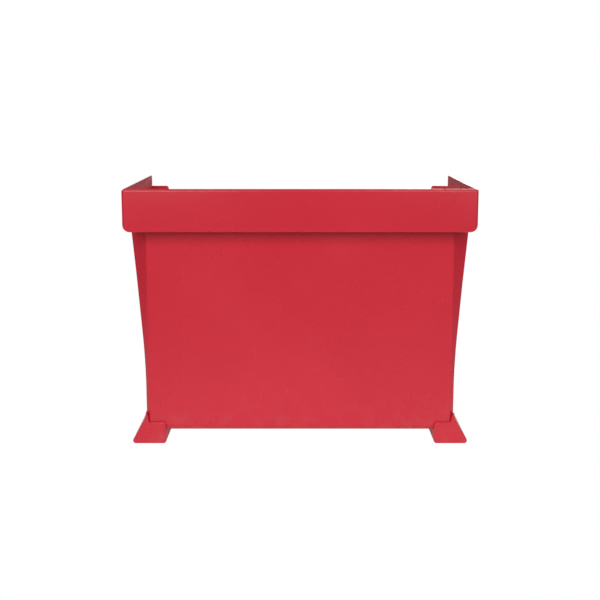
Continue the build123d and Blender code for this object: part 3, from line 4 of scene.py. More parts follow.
import bmesh
import bpy
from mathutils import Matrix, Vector


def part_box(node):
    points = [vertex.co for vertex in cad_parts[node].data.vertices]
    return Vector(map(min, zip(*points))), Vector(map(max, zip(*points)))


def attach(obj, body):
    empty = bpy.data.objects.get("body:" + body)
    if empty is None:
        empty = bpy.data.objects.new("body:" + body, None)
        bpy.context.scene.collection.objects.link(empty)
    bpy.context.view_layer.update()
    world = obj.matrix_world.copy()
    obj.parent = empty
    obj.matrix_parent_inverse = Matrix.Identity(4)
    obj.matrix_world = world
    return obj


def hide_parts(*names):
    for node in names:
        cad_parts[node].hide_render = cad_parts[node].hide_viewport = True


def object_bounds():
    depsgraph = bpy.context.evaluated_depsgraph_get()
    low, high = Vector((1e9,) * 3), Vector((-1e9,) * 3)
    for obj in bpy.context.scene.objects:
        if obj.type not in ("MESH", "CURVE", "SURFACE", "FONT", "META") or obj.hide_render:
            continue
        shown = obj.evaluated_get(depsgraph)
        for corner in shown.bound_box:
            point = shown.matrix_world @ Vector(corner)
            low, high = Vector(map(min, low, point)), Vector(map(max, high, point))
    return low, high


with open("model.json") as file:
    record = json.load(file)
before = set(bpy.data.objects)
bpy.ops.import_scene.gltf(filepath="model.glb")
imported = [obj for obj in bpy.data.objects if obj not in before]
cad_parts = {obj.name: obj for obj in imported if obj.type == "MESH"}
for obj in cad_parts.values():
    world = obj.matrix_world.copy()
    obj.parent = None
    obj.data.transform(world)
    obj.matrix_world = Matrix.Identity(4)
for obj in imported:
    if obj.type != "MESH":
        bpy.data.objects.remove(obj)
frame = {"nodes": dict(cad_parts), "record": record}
cad_box = [list(corner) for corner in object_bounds()]

# ---------------------------------------------------------------------------------------------------
# Studio: a white sweep with a dim grey room around it, a broad key panel beside the camera, and fills
# for the other sides. Nothing here is part of the box. The camera looks at the plain rear panel from
# ten degrees above.

low, high = (Vector(corner) for corner in cad_box)
middle = (low + high) / 2
view_tilt = radians(10)
view_distance = 2.127
view_angle = radians(30)

camera = bpy.data.objects.new("camera", bpy.data.cameras.new("camera"))
bpy.context.scene.collection.objects.link(camera)
camera.data.sensor_width = 36
camera.data.angle = view_angle
camera.location = middle + Vector((0, cos(view_tilt), sin(view_tilt))) * view_distance
camera.rotation_euler = (middle - camera.location).to_track_quat("-Z", "Y").to_euler()
bpy.context.scene.camera = camera
bpy.context.scene.view_settings.view_transform = "Standard"


def soft_light(name, place, size, power):
    """A square studio panel that faces the middle of the box."""
    data = bpy.data.lights.new(name, "AREA")
    data.shape, data.size, data.energy = "SQUARE", size, power
    light = bpy.data.objects.new(name, data)
    light.location = place
    light.rotation_euler = (middle - Vector(place)).to_track_quat("-Z", "Y").to_euler()
    bpy.context.scene.collection.objects.link(light)


soft_light("key", (1.25, 2.9, 1.6), 1.8, 50)
soft_light("second", (-1.35, 2.85, 1.6), 1.8, 40)
soft_light("front_key", (-1.3, -2.8, 1.5), 1.8, 50)
soft_light("front_fill", (1.9, -2.5, 1.2), 1.6, 22)


def seen_or_felt(tree, seen, felt, target):
    """Show one shader to the camera and let another light the box."""
    rays = tree.nodes.new("ShaderNodeLightPath")
    choice = tree.nodes.new("ShaderNodeMixShader")
    for source, socket in ((rays.outputs["Is Camera Ray"], choice.inputs[0]), (felt, choice.inputs[1]),
                           (seen, choice.inputs[2]), (choice.outputs[0], target)):
        tree.links.new(source, socket)


room_grey, ceiling_glow, backdrop_glow = 0.10, 0.30, 0.40
world = bpy.data.worlds.new("white_room")
bpy.context.scene.world = world
world.use_nodes = True
room = world.node_tree.nodes["Background"]
room.inputs["Color"].default_value = (1, 1, 1, 1)
heading = world.node_tree.nodes.new("ShaderNodeTexCoord").outputs["Generated"]
strength = None
for glow, towards, start, end in ((ceiling_glow, (0, 0, 1), 0.2, 1.0),
                                  (backdrop_glow, (0, -1, 0), 0.86, 0.99)):
    facing = world.node_tree.nodes.new("ShaderNodeVectorMath")
    facing.operation = "DOT_PRODUCT"
    world.node_tree.links.new(heading, facing.inputs[0])
    facing.inputs[1].default_value = towards
    lobe = world.node_tree.nodes.new("ShaderNodeMapRange")
    world.node_tree.links.new(facing.outputs["Value"], lobe.inputs["Value"])
    lobe.inputs["From Min"].default_value, lobe.inputs["From Max"].default_value = start, end
    lobe.inputs["To Min"].default_value, lobe.inputs["To Max"].default_value = 0.0, glow
    total = world.node_tree.nodes.new("ShaderNodeMath")
    total.inputs[1].default_value = room_grey
    world.node_tree.links.new(lobe.outputs["Result"], total.inputs[0])
    if strength:
        world.node_tree.links.new(strength, total.inputs[1])
    strength = total.outputs[0]
world.node_tree.links.new(strength, room.inputs["Strength"])
white_wall = world.node_tree.nodes.new("ShaderNodeBackground")
white_wall.inputs["Color"].default_value = (1, 1, 1, 1)
white_wall.inputs["Strength"].default_value = 1.0
seen_or_felt(world.node_tree, white_wall.outputs[0], room.outputs[0],
             world.node_tree.nodes["World Output"].inputs["Surface"])

floor_reach = 12.0
floor_near, floor_far = 0.30, 1.5
floor_mesh = bpy.data.meshes.new("floor")
floor_corners = [(x * floor_reach, y * floor_reach, 0) for x, y in ((-1, -1), (1, -1), (1, 1), (-1, 1))]
floor_mesh.from_pydata(floor_corners, [], [(0, 1, 2, 3)])
floor = bpy.data.objects.new("floor", floor_mesh)
bpy.context.scene.collection.objects.link(floor)
floor_paint = bpy.data.materials.new("floor_paint")
floor_paint.use_nodes = True
floor_shader = floor_paint.node_tree.nodes["Principled BSDF"]
floor_nodes, floor_links = floor_paint.node_tree.nodes, floor_paint.node_tree.links
floor_place = floor_nodes.new("ShaderNodeTexCoord").outputs["Object"]
from_middle = floor_nodes.new("ShaderNodeVectorMath")
from_middle.operation = "LENGTH"
floor_links.new(floor_place, from_middle.inputs[0])
for label, near, far in (("Base Color", 0.80, 0.30), ("Emission Strength", 0.22, 0.0)):
    fade = floor_nodes.new("ShaderNodeMapRange")
    floor_links.new(from_middle.outputs["Value"], fade.inputs["Value"])
    for socket, number in (("From Min", floor_near), ("From Max", floor_far),
                           ("To Min", near), ("To Max", far)):
        fade.inputs[socket].default_value = number
    floor_links.new(fade.outputs["Result"], floor_shader.inputs[label])
floor_shader.inputs["Roughness"].default_value = 0.9
floor_shader.inputs["Specular IOR Level"].default_value = 0.0
floor_shader.inputs["Emission Color"].default_value = (1, 1, 1, 1)
floor_glow = floor_nodes.new("ShaderNodeEmission")
floor_glow.inputs["Strength"].default_value = 1.0
seen_or_felt(floor_paint.node_tree, floor_glow.outputs[0], floor_shader.outputs[0],
             floor_nodes["Material Output"].inputs["Surface"])
floor_mesh.materials.append(floor_paint)

# ---------------------------------------------------------------------------------------------------
# Cabinet shell: one rotationally moulded tub in through-coloured red plastic, with a fine orange-peel
# skin and soft edges. Everything else bolts to it. The front panel closes it towards the customer.

MERGE = 2e-6          # vertices nearer than this are one
FLAT = radians(0.6)   # facets that meet at less than this are one face


def merged_shape(node):
    """A CAD node's triangles with their shared vertices joined."""
    shape = bmesh.new()
    shape.from_mesh(frame["nodes"][node].data)
    bmesh.ops.remove_doubles(shape, verts=shape.verts, dist=MERGE)
    return shape


def shown(name, mesh, sharp):
    """An object for a mesh, smooth but for edges sharper than an angle in degrees."""
    for face in mesh.polygons:
        face.use_smooth = True
    mesh.set_sharp_from_angle(angle=radians(sharp))
    piece = bpy.data.objects.new(name, mesh)
    bpy.context.scene.collection.objects.link(piece)
    return piece


def take_place(piece, node):
    """Let a piece ride on a CAD node's body, and show instead of it."""
    body = next(body for body, nodes in frame["record"]["behaviour"]["bodies"].items() if node in nodes)
    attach(piece, body)
    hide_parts(node)


def finished(node, name, material, edge=0.0008, segments=3, sharp=28):
    """A copy of a CAD node with its facets merged and its edges rounded; it takes the node's place."""
    shape = merged_shape(node)
    bmesh.ops.dissolve_limit(shape, angle_limit=FLAT, verts=shape.verts, edges=shape.edges)
    mesh = bpy.data.meshes.new(name)
    shape.to_mesh(mesh)
    shape.free()
    mesh.materials.clear()
    piece = shown(name, mesh, sharp)
    rounding = piece.modifiers.new("rounding", "BEVEL")
    rounding.width = edge
    rounding.segments = segments
    rounding.limit_method = "ANGLE"
    rounding.angle_limit = radians(sharp)
    rounding.harden_normals = True
    rounding.use_clamp_overlap = True
    take_place(piece, node)
    mesh.materials.append(material)


class Tree:
    """Short words for building a node tree."""

    def __init__(self, tree):
        self.tree = tree

    def add(self, kind, **settings):
        node = self.tree.nodes.new(kind)
        for key, value in settings.items():
            setattr(node, key, value)
        return node

    def link(self, source, target):
        self.tree.links.new(source, target)

    def put(self, value, socket):
        """Link a socket, or set a constant on the socket itself."""
        if isinstance(value, bpy.types.NodeSocket):
            self.link(value, socket)
        else:
            socket.default_value = value

    def feed(self, node, values):
        for value, socket in zip(values, node.inputs):
            self.put(value, socket)

    def math(self, operation, *values, clamp=False):
        node = self.add("ShaderNodeMath", operation=operation, use_clamp=clamp)
        self.feed(node, values)
        return node.outputs[0]

    def noise(self, place, scale, detail=3.0, roughness=0.55, stretch=None):
        if stretch:
            mapping = self.add("ShaderNodeMapping")
            mapping.inputs["Scale"].default_value = stretch
            self.link(place, mapping.inputs["Vector"])
            place = mapping.outputs["Vector"]
        node = self.add("ShaderNodeTexNoise")
        self.link(place, node.inputs["Vector"])
        node.inputs["Detail"].default_value = detail
        node.inputs["Roughness"].default_value = roughness
        self.put(scale, node.inputs["Scale"])
        return node.outputs["Fac"]

    def step(self, value, start, end, low=0.0, high=1.0):
        """A smooth ramp from low to high as value goes from start to end."""
        node = self.add("ShaderNodeMapRange", interpolation_type="SMOOTHSTEP")
        self.feed(node, (value, start, end, low, high))
        return node.outputs["Result"]

    def mix(self, share, first, second):
        node = self.add("ShaderNodeMix", data_type="RGBA")
        for value, socket in zip((share, first, second), [s for s in node.inputs if s.enabled]):
            self.put(value, socket)
        return next(s for s in node.outputs if s.enabled)


def new_group(name, inputs, outputs):
    """An empty shader group with named sockets; returns its tree words and its two end nodes."""
    group = bpy.data.node_groups.new(name, "ShaderNodeTree")
    for label, kind, value in inputs:
        socket = group.interface.new_socket(label, in_out="INPUT", socket_type=kind)
        if value is not None:
            socket.default_value = value
    for label, kind in outputs:
        group.interface.new_socket(label, in_out="OUTPUT", socket_type=kind)
    words = Tree(group)
    return words, words.add("NodeGroupInput").outputs, words.add("NodeGroupOutput").inputs


def worn_edges_group():
    """Mask that is one along outer edges, broken up by noise."""
    t, given, out = new_group("worn_edges", [("Width", "NodeSocketFloat", 0.002),
                                             ("Breakup", "NodeSocketFloat", 60.0)],
                              [("Mask", "NodeSocketFloat")])
    place = t.add("ShaderNodeTexCoord").outputs["Object"]
    rounded = t.add("ShaderNodeBevel", samples=4)
    t.link(given["Width"], rounded.inputs["Radius"])
    true = t.add("ShaderNodeNewGeometry").outputs["True Normal"]
    along = t.add("ShaderNodeVectorMath", operation="DOT_PRODUCT")
    t.link(rounded.outputs[0], along.inputs[0])
    t.link(true, along.inputs[1])
    bend = t.step(along.outputs["Value"], 0.995, 0.90)
    torn = t.step(t.noise(place, given["Breakup"], 5), 0.40, 0.62)
    t.link(t.math("MULTIPLY", bend, torn), out["Mask"])
    return t.tree


def scuffs_group():
    """Fine long scratches in two directions, and broad soft rub marks."""
    t, given, out = new_group("scuffs", [("Amount", "NodeSocketFloat", 0.5)],
                              [("Scratches", "NodeSocketFloat"), ("Rubbed", "NodeSocketFloat")])
    place = t.add("ShaderNodeTexCoord").outputs["Object"]
    one = t.step(t.noise(place, 9.0, 2, stretch=(3, 3, 60)), 0.66, 0.70)
    two = t.step(t.noise(place, 11.0, 2, stretch=(60, 40, 4)), 0.67, 0.70)
    patches = t.step(t.noise(place, 4.0, 2), 0.52, 0.68)
    lines = t.math("MULTIPLY", t.math("MAXIMUM", one, two), patches)
    t.link(t.math("MULTIPLY", lines, given["Amount"]), out["Scratches"])
    rub = t.step(t.noise(place, 6.0, 5), 0.45, 0.75)
    t.link(t.math("MULTIPLY", rub, given["Amount"]), out["Rubbed"])
    return t.tree


def street_dust_group():
    """Dust that gathers near the ground, thinning out upwards."""
    t, given, out = new_group("street_dust", [("Reach", "NodeSocketFloat", 0.12)],
                              [("Mask", "NodeSocketFloat")])
    place = t.add("ShaderNodeTexCoord").outputs["Object"]
    parts = t.add("ShaderNodeSeparateXYZ")
    t.link(place, parts.inputs[0])
    near = t.math("SUBTRACT", 1.0, t.math("DIVIDE", parts.outputs["Z"], given["Reach"]), clamp=True)
    specks = t.step(t.noise(place, 38.0, 6, 0.65), 0.42, 0.72)
    t.link(t.math("MULTIPLY", t.math("MULTIPLY", near, near), specks), out["Mask"])
    return t.tree


WORN_EDGES, SCUFFS, STREET_DUST = worn_edges_group(), scuffs_group(), street_dust_group()


def placed(t, group, **values):
    """A group node in a material, with its inputs set."""
    node = t.add("ShaderNodeGroup", node_tree=group)
    for label, value in values.items():
        node.inputs[label].default_value = value
    return node.outputs


def new_material(name):
    """An empty material: its tree words, its shader and its object coordinates."""
    material = bpy.data.materials.new(name)
    material.use_nodes = True
    t = Tree(material.node_tree)
    shader = material.node_tree.nodes["Principled BSDF"]
    place = t.add("ShaderNodeTexCoord").outputs["Object"]
    return material, t, shader.inputs, place


def bump(t, shader, height, distance, strength=1.0):
    """Feed a height into the shader's normal."""
    node = t.add("ShaderNodeBump")
    node.inputs["Distance"].default_value = distance
    node.inputs["Strength"].default_value = strength
    t.link(height, node.inputs["Height"])
    t.link(node.outputs["Normal"], shader["Normal"])


def red_plastic(name, peel_scale=260.0, dust_reach=0.11):
    """Through-coloured red plastic with an orange-peel skin, faint rubs and dust low down."""
    material, t, shader, place = new_material(name)
    cloud = t.step(t.noise(place, 5.0, 4), 0.3, 0.7)
    base = t.mix(cloud, (0.575, 0.014, 0.032, 1), (0.600, 0.017, 0.037, 1))
    scuffs = placed(t, SCUFFS, Amount=0.35)
    pale = t.mix(t.math("MULTIPLY", scuffs["Scratches"], 0.45), base, (0.74, 0.18, 0.20, 1))
    edge = placed(t, WORN_EDGES, Width=0.0016, Breakup=55.0)["Mask"]
    worn = t.mix(t.math("MULTIPLY", edge, 0.30), pale, (0.72, 0.13, 0.16, 1))
    dust = placed(t, STREET_DUST, Reach=dust_reach)["Mask"]
    t.link(t.mix(t.math("MULTIPLY", dust, 0.16), worn, (0.42, 0.30, 0.27, 1)), shader["Base Color"])
    rough = t.math("ADD", t.math("MULTIPLY", scuffs["Rubbed"], 0.20), 0.27)
    t.link(t.math("ADD", rough, t.math("MULTIPLY", dust, 0.25), clamp=True), shader["Roughness"])
    peel = t.noise(place, peel_scale, 2, 0.5)
    grain = t.noise(place, peel_scale * 7, 2, 0.6)
    height = t.math("ADD", peel, t.math("MULTIPLY", grain, 0.18))
    height = t.math("SUBTRACT", height, t.math("MULTIPLY", scuffs["Scratches"], 0.8))
    bump(t, shader, height, 0.00006, 0.55)
    return material


red_moulding = red_plastic("red_moulding")
finished("cabinet_shell", "shell_tub", red_moulding, edge=0.0012)

# ---------------------------------------------------------------------------------------------------
# Hood: a second moulding in the same red. It sits on the shell's flange, and has a deep band at the
# rear, two cheeks that run forward, the sloping deck, and a low front wall that is open in the middle.

finished("hood", "hood_band", red_moulding, edge=0.0012)

# ---------------------------------------------------------------------------------------------------
# Runners: two flared skids that wrap the shell's lower edge and reach forward as toes. Same red
# plastic, ribbed underneath, with street dust that reaches less far up than on the shell.

runner_red = red_plastic("runner_red", dust_reach=0.05)
for side in ("left", "right"):
    finished(f"runner_{side}", f"skid_{side}", runner_red, edge=0.0012)


def soft_rubber():
    """Matt black rubber with fine grain."""
    material, t, shader, place = new_material("soft_rubber")
    cloud = t.step(t.noise(place, 70.0, 5), 0.3, 0.7)
    t.link(t.mix(cloud, (0.018, 0.018, 0.019, 1), (0.032, 0.031, 0.031, 1)), shader["Base Color"])
    t.link(t.step(t.noise(place, 160.0, 3), 0.2, 0.8, 0.72, 0.9), shader["Roughness"])
    bump(t, shader, t.noise(place, 1400.0, 3), 0.0001, 0.5)
    return material


rubber = soft_rubber()
finished("foot_pads", "rubber_feet", rubber, edge=0.0005)

# ---------------------------------------------------------------------------------------------------
# Ballast and paper shelf: an iron plate on the floor keeps the box from tipping. On it stands a bench
# of galvanised sheet for the papers, with strips welded round its edge. Both are bolted down.


def cast_grey():
    """Grey primer over rough iron."""
    material, t, shader, place = new_material("cast_grey")
    cloud = t.step(t.noise(place, 12.0, 6), 0.3, 0.7)
    base = t.mix(cloud, (0.075, 0.078, 0.082, 1), (0.11, 0.112, 0.116, 1))
    edge = placed(t, WORN_EDGES, Width=0.0015, Breakup=80.0)["Mask"]
    t.link(t.mix(t.math("MULTIPLY", edge, 0.6), base, (0.26, 0.22, 0.19, 1)), shader["Base Color"])
    t.link(t.step(t.noise(place, 90.0, 4), 0.2, 0.8, 0.5, 0.72), shader["Roughness"])
    bump(t, shader, t.noise(place, 420.0, 5, 0.65), 0.0003, 0.6)
    return material


def sheet_metal(name, bright, dark, roughness, spangle):
    """Plated sheet: large soft crystals of slightly different shade, with fine rolling lines."""
    material, t, shader, place = new_material(name)
    crystals = t.add("ShaderNodeTexVoronoi", feature="F1")
    crystals.inputs["Scale"].default_value = spangle
    t.link(place, crystals.inputs["Vector"])
    tone = t.add("ShaderNodeSeparateColor")
    t.link(crystals.outputs["Color"], tone.inputs[0])
    t.link(t.mix(tone.outputs[0], dark, bright), shader["Base Color"])
    shader["Metallic"].default_value = 1.0
    lines = t.noise(place, 240.0, 2, stretch=(1, 14, 14))
    t.link(t.step(lines, 0.2, 0.8, roughness - 0.07, roughness + 0.09), shader["Roughness"])
    bump(t, shader, lines, 0.00003, 0.4)
    return material


iron = cast_grey()
zinc = sheet_metal("zinc", (0.66, 0.67, 0.69, 1), (0.55, 0.56, 0.58, 1), 0.32, 900.0)
galvanised = sheet_metal("galvanised", (0.56, 0.58, 0.60, 1), (0.44, 0.46, 0.48, 1), 0.42, 130.0)
finished("ballast_plate", "iron_ballast", iron, edge=0.0008)
for node, name in (("paper_shelf", "bench_sheet"), ("shelf_edges", "bench_edges"),
                   ("shelf_legs", "bench_legs")):
    finished(node, name, galvanised, edge=0.0004)


def loose_parts(node):
    """Vertex places of each separate solid in a CAD node."""
    shape = merged_shape(node)
    left, found = set(shape.verts), []
    while left:
        group, edge_of_group = set(), [left.pop()]
        while edge_of_group:
            vert = edge_of_group.pop()
            group.add(vert)
            near = {edge.other_vert(vert) for edge in vert.link_edges} & left
            left -= near
            edge_of_group.extend(near)
        found.append([vert.co.copy() for vert in group])
    shape.free()
    return sorted(found, key=lambda places: tuple(round(c, 5) for c in places_middle(places)))


def places_middle(places):
    return sum(places, Vector()) / len(places)


LEVEL = 1e-5    # places nearer than this stand at one height


def fastener_sizes(places, outward):
    """A fastener's seat, head radius and height, shank radius and length, read from its solid."""
    top = max(place.dot(outward) for place in places)
    centre = places_middle([place for place in places if place.dot(outward) > top - LEVEL])
    around = [(place.dot(outward) - top,
               ((place - centre) - outward * (place - centre).dot(outward)).length) for place in places]
    head_r = max(radius for _, radius in around)
    head_t = -min(along for along, radius in around if radius > head_r - 2 * LEVEL)
    end = min(along for along, _ in around)
    shank_r = max(radius for along, radius in around if along < end + LEVEL)
    return centre - outward * head_t, head_r, head_t, shank_r, -end - head_t


def repeat_tree(name, sizes, result):
    """An empty geometry tree that repeats a shape at places, with a named input for each size."""
    tree = bpy.data.node_groups.new(name, "GeometryNodeTree")
    tree.interface.new_socket("Places", in_out="INPUT", socket_type="NodeSocketGeometry")
    for label in sizes:
        tree.interface.new_socket(label, in_out="INPUT", socket_type="NodeSocketFloat")
    tree.interface.new_socket("Aim", in_out="INPUT", socket_type="NodeSocketVector")
    tree.interface.new_socket("Finish", in_out="INPUT", socket_type="NodeSocketMaterial")
    tree.interface.new_socket(result, in_out="OUTPUT", socket_type="NodeSocketGeometry")
    t = Tree(tree)
    return t, t.add("NodeGroupInput").outputs, t.add("NodeGroupOutput").inputs[result]


def repeat_shape(t, given, shape, out):
    """Copy a shape to every place, make the copies real and give them their finish."""
    spread = t.add("GeometryNodeInstanceOnPoints")
    t.link(given["Places"], spread.inputs["Points"])
    t.link(shape, spread.inputs["Instance"])
    t.link(given["Aim"], spread.inputs["Rotation"])
    real = t.add("GeometryNodeRealizeInstances")
    t.link(spread.outputs[0], real.inputs[0])
    finish = t.add("GeometryNodeSetMaterial")
    t.link(real.outputs[0], finish.inputs["Geometry"])
    t.link(given["Finish"], finish.inputs["Material"])
    t.link(finish.outputs[0], out)
    return t.tree


# Each step of a head, from the shank up: its rise in head heights, and its width against the last one.
# The first one, in both, widens the shank to the head.
RIVET_DOME = ((0.50, 1.0), (0.28, 0.93), (0.16, 0.80), (0.06, 0.60))
SCREW_HEAD = ((0.50, 1.0), (0.30, 0.93), (0.20, 0.78), (0.0, 0.66), (-0.62, 0.92), (0.0, 0.46), (0.50, 0.90))


def fastener_tree(name, head):
    """Fastener grown from its shank: a domed head with a pinned round socket, or a plain rivet dome."""
    t, given, out = repeat_tree(name, ("Head Radius", "Head Height", "Shank Radius", "Shank Length"),
                                "Fasteners")
    shank = t.add("GeometryNodeMeshCylinder", fill_type="NGON")
    shank.inputs["Vertices"].default_value = 24
    t.link(given["Shank Radius"], shank.inputs["Radius"])
    t.link(given["Shank Length"], shank.inputs["Depth"])
    sunk = t.add("GeometryNodeTransform")
    drop = t.add("ShaderNodeCombineXYZ")
    t.link(t.math("MULTIPLY", given["Shank Length"], -0.5), drop.inputs["Z"])
    t.link(shank.outputs["Mesh"], sunk.inputs["Geometry"])
    t.link(drop.outputs[0], sunk.inputs["Translation"])
    mesh, tip = sunk.outputs["Geometry"], shank.outputs["Top"]
    flange = t.math("DIVIDE", given["Head Radius"], given["Shank Radius"])
    for rise, scale in ((0.0, flange),) + head:
        lift = t.add("GeometryNodeExtrudeMesh", mode="FACES")
        t.link(mesh, lift.inputs["Mesh"])
        t.link(tip, lift.inputs["Selection"])
        t.link(t.math("MULTIPLY", given["Head Height"], rise), lift.inputs["Offset Scale"])
        shrink = t.add("GeometryNodeScaleElements")
        t.link(lift.outputs["Mesh"], shrink.inputs["Geometry"])
        t.link(lift.outputs["Top"], shrink.inputs["Selection"])
        t.put(scale, shrink.inputs["Scale"])
        mesh, tip = shrink.outputs[0], lift.outputs["Top"]
    return repeat_shape(t, given, mesh, out)


def grown(name, tree, points, **values):
    """A plain mesh object from a node tree run on a few points."""
    seed = bpy.data.meshes.new(name + "_places")
    seed.from_pydata([tuple(point) for point in points], [], [])
    maker = bpy.data.objects.new(name + "_maker", seed)
    bpy.context.scene.collection.objects.link(maker)
    modifier = maker.modifiers.new("grow", "NODES")
    modifier.node_group = tree
    for item in tree.interface.items_tree:
        if item.in_out == "INPUT" and item.name in values:
            modifier[item.identifier] = values[item.name]
    view = bpy.context.evaluated_depsgraph_get()
    mesh = bpy.data.meshes.new_from_object(maker.evaluated_get(view), depsgraph=view)
    bpy.data.objects.remove(maker)
    mesh.name = name
    return shown(name, mesh, 32)


SOCKET_SCREW, DOME_RIVET = fastener_tree("socket_screw", SCREW_HEAD), fastener_tree("dome_rivet", RIVET_DOME)
UP, OUT_FRONT = Vector((0, 0, 1)), Vector((0, -1, 0))


def fasteners(node, outward, material, tree=SOCKET_SCREW):
    """All the fasteners of one CAD node, each on its own solid's place, all at the first solid's size."""
    found = [fastener_sizes(places, outward) for places in loose_parts(node)]
    _, head_r, head_t, shank_r, length = found[0]
    piece = grown(node + "_set", tree, [seat for seat, *_ in found], Finish=material, **{
        "Head Radius": head_r, "Head Height": head_t, "Shank Radius": shank_r, "Shank Length": length,
        "Aim": tuple(outward.to_track_quat("Z", "Y").to_euler())})
    take_place(piece, node)


fasteners("shelf_screws", UP, zinc)
fasteners("runner_bolts", UP, zinc)
finished("runner_nuts", "runner_hex_nuts", zinc, edge=0.0004)

# ---------------------------------------------------------------------------------------------------
# Hood fixing: socket screws go down through the hood's return flange into nuts under the shell's.

fasteners("hood_screws", UP, zinc)
finished("hood_nuts", "hood_hex_nuts", zinc, edge=0.0003)

# ---------------------------------------------------------------------------------------------------
# Front panel: a flat sheet in the same red, screwed over the shell's front opening, so the shelf and
# the coin works can be reached.

finished("front_panel", "front_sheet", red_moulding, edge=0.0008)
fasteners("front_panel_screws", OUT_FRONT, zinc)

# ---------------------------------------------------------------------------------------------------
# Placard: a black moulded frame riveted to the front panel. It holds a blank printed card behind a
# clear cover.


def black_moulding():
    """Fine-grained black plastic, greyer where hands and weather have been at it."""
    material, t, shader, place = new_material("black_moulding")
    cloud = t.step(t.noise(place, 22.0, 5), 0.3, 0.75)
    base = t.mix(cloud, (0.012, 0.012, 0.013, 1), (0.026, 0.026, 0.027, 1))
    edge = placed(t, WORN_EDGES, Width=0.0012, Breakup=120.0)["Mask"]
    t.link(t.mix(t.math("MULTIPLY", edge, 0.5), base, (0.09, 0.09, 0.092, 1)), shader["Base Color"])
    rubbed = placed(t, SCUFFS, Amount=0.8)["Rubbed"]
    t.link(t.math("SUBTRACT", 0.55, t.math("MULTIPLY", rubbed, 0.18)), shader["Roughness"])
    bump(t, shader, t.noise(place, 1500.0, 3, 0.6), 0.00012, 0.6)
    return material


def clear_sheet():
    """Clear polycarbonate with a faint cool tint, hairline scratches and a smeared finish."""
    material, t, shader, place = new_material("clear_polycarbonate")
    shader["Transmission Weight"].default_value = 1.0
    shader["IOR"].default_value = 1.58
    marks = placed(t, SCUFFS, Amount=1.0)
    smears = t.step(t.noise(place, 14.0, 4, stretch=(1, 3, 3)), 0.5, 0.75, 0.0, 0.10)
    rough = t.math("ADD", t.math("MULTIPLY", marks["Scratches"], 0.30), smears)
    t.link(t.math("ADD", rough, 0.02, clamp=True), shader["Roughness"])
    haze = t.math("MULTIPLY", marks["Scratches"], 0.5)
    t.link(t.mix(haze, (0.955, 0.975, 0.972, 1), (0.86, 0.88, 0.88, 1)), shader["Base Color"])
    bump(t, shader, marks["Scratches"], 0.00002, 0.4)
    rays = t.add("ShaderNodeLightPath")
    passing = t.math("MAXIMUM", rays.outputs["Is Shadow Ray"], rays.outputs["Is Diffuse Ray"])
    through = t.add("ShaderNodeBsdfTransparent")
    through.inputs["Color"].default_value = (0.93, 0.95, 0.95, 1)
    choice = t.add("ShaderNodeMixShader")
    nodes = material.node_tree.nodes
    for source, socket in ((passing, choice.inputs[0]),
                           (nodes["Principled BSDF"].outputs[0], choice.inputs[1]),
                           (through.outputs[0], choice.inputs[2]),
                           (choice.outputs[0], nodes["Material Output"].inputs["Surface"])):
        t.link(source, socket)
    return material


def printed_card():
    """Off-white card with a fibrous face, a slate border and one slate bar; nothing is written on it."""
    material, t, shader, place = new_material("printed_card")
    low_corner, high_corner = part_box("placard_card")
    centre, half = (low_corner + high_corner) / 2, (high_corner - low_corner) / 2
    parts = t.add("ShaderNodeSeparateXYZ")
    t.link(place, parts.inputs[0])
    across = t.math("ABSOLUTE", t.math("SUBTRACT", parts.outputs["X"], centre.x))
    up = t.math("SUBTRACT", parts.outputs["Z"], centre.z)
    rise = t.math("ABSOLUTE", up)
    border_outer, border_inner, mark_margin = 0.013, 0.016, 0.026
    bar_foot, rule_drop, rule_half = 0.030, 0.002, 0.0016
    border_x = t.math("MULTIPLY", t.math("GREATER_THAN", across, half.x - border_inner),
                      t.math("LESS_THAN", across, half.x - border_outer))
    border_z = t.math("MULTIPLY", t.math("GREATER_THAN", rise, half.z - border_inner),
                      t.math("LESS_THAN", rise, half.z - border_outer))
    inside_x, inside_z = (t.math("LESS_THAN", value, edge - border_outer) for value, edge in
                          ((across, half.x), (rise, half.z)))
    within = t.math("LESS_THAN", across, half.x - mark_margin)
    bar_height = t.math("MULTIPLY", t.math("GREATER_THAN", up, bar_foot),
                        t.math("LESS_THAN", up, half.z - mark_margin))
    rule_height = t.math("LESS_THAN", t.math("ABSOLUTE", t.math("ADD", up, rule_drop)), rule_half)
    bar, rule = (t.math("MULTIPLY", within, height) for height in (bar_height, rule_height))
    frame_lines = t.math("MAXIMUM", t.math("MULTIPLY", border_x, inside_z),
                         t.math("MULTIPLY", border_z, inside_x))
    ink = t.math("MAXIMUM", t.math("MAXIMUM", frame_lines, bar), rule)
    fibres = t.noise(place, 700.0, 5, 0.7)
    paper = t.mix(t.step(fibres, 0.3, 0.7), (0.80, 0.77, 0.69, 1), (0.88, 0.86, 0.79, 1))
    faded = t.step(t.noise(place, 9.0, 4), 0.35, 0.7)
    slate = t.mix(faded, (0.055, 0.085, 0.13, 1), (0.10, 0.14, 0.19, 1))
    t.link(t.mix(t.math("MULTIPLY", ink, 0.93), paper, slate), shader["Base Color"])
    t.link(t.step(fibres, 0.2, 0.8, 0.62, 0.82), shader["Roughness"])
    bump(t, shader, fibres, 0.00008, 0.4)
    return material


moulded_black, polycarbonate = black_moulding(), clear_sheet()
finished("placard_frame", "placard_surround", moulded_black, edge=0.0005)
finished("placard_card", "placard_blank", printed_card(), edge=0.0001, segments=1)
finished("placard_cover", "placard_clear_cover", polycarbonate, edge=0.0002, segments=2)
fasteners("placard_rivets", OUT_FRONT, zinc, DOME_RIVET)

# ---------------------------------------------------------------------------------------------------
# Lid: a thick red moulding with a turned-down front flange. A clear polycarbonate window sits in its
# rebate under a black retainer, and a rubber strip on the deck seals it.

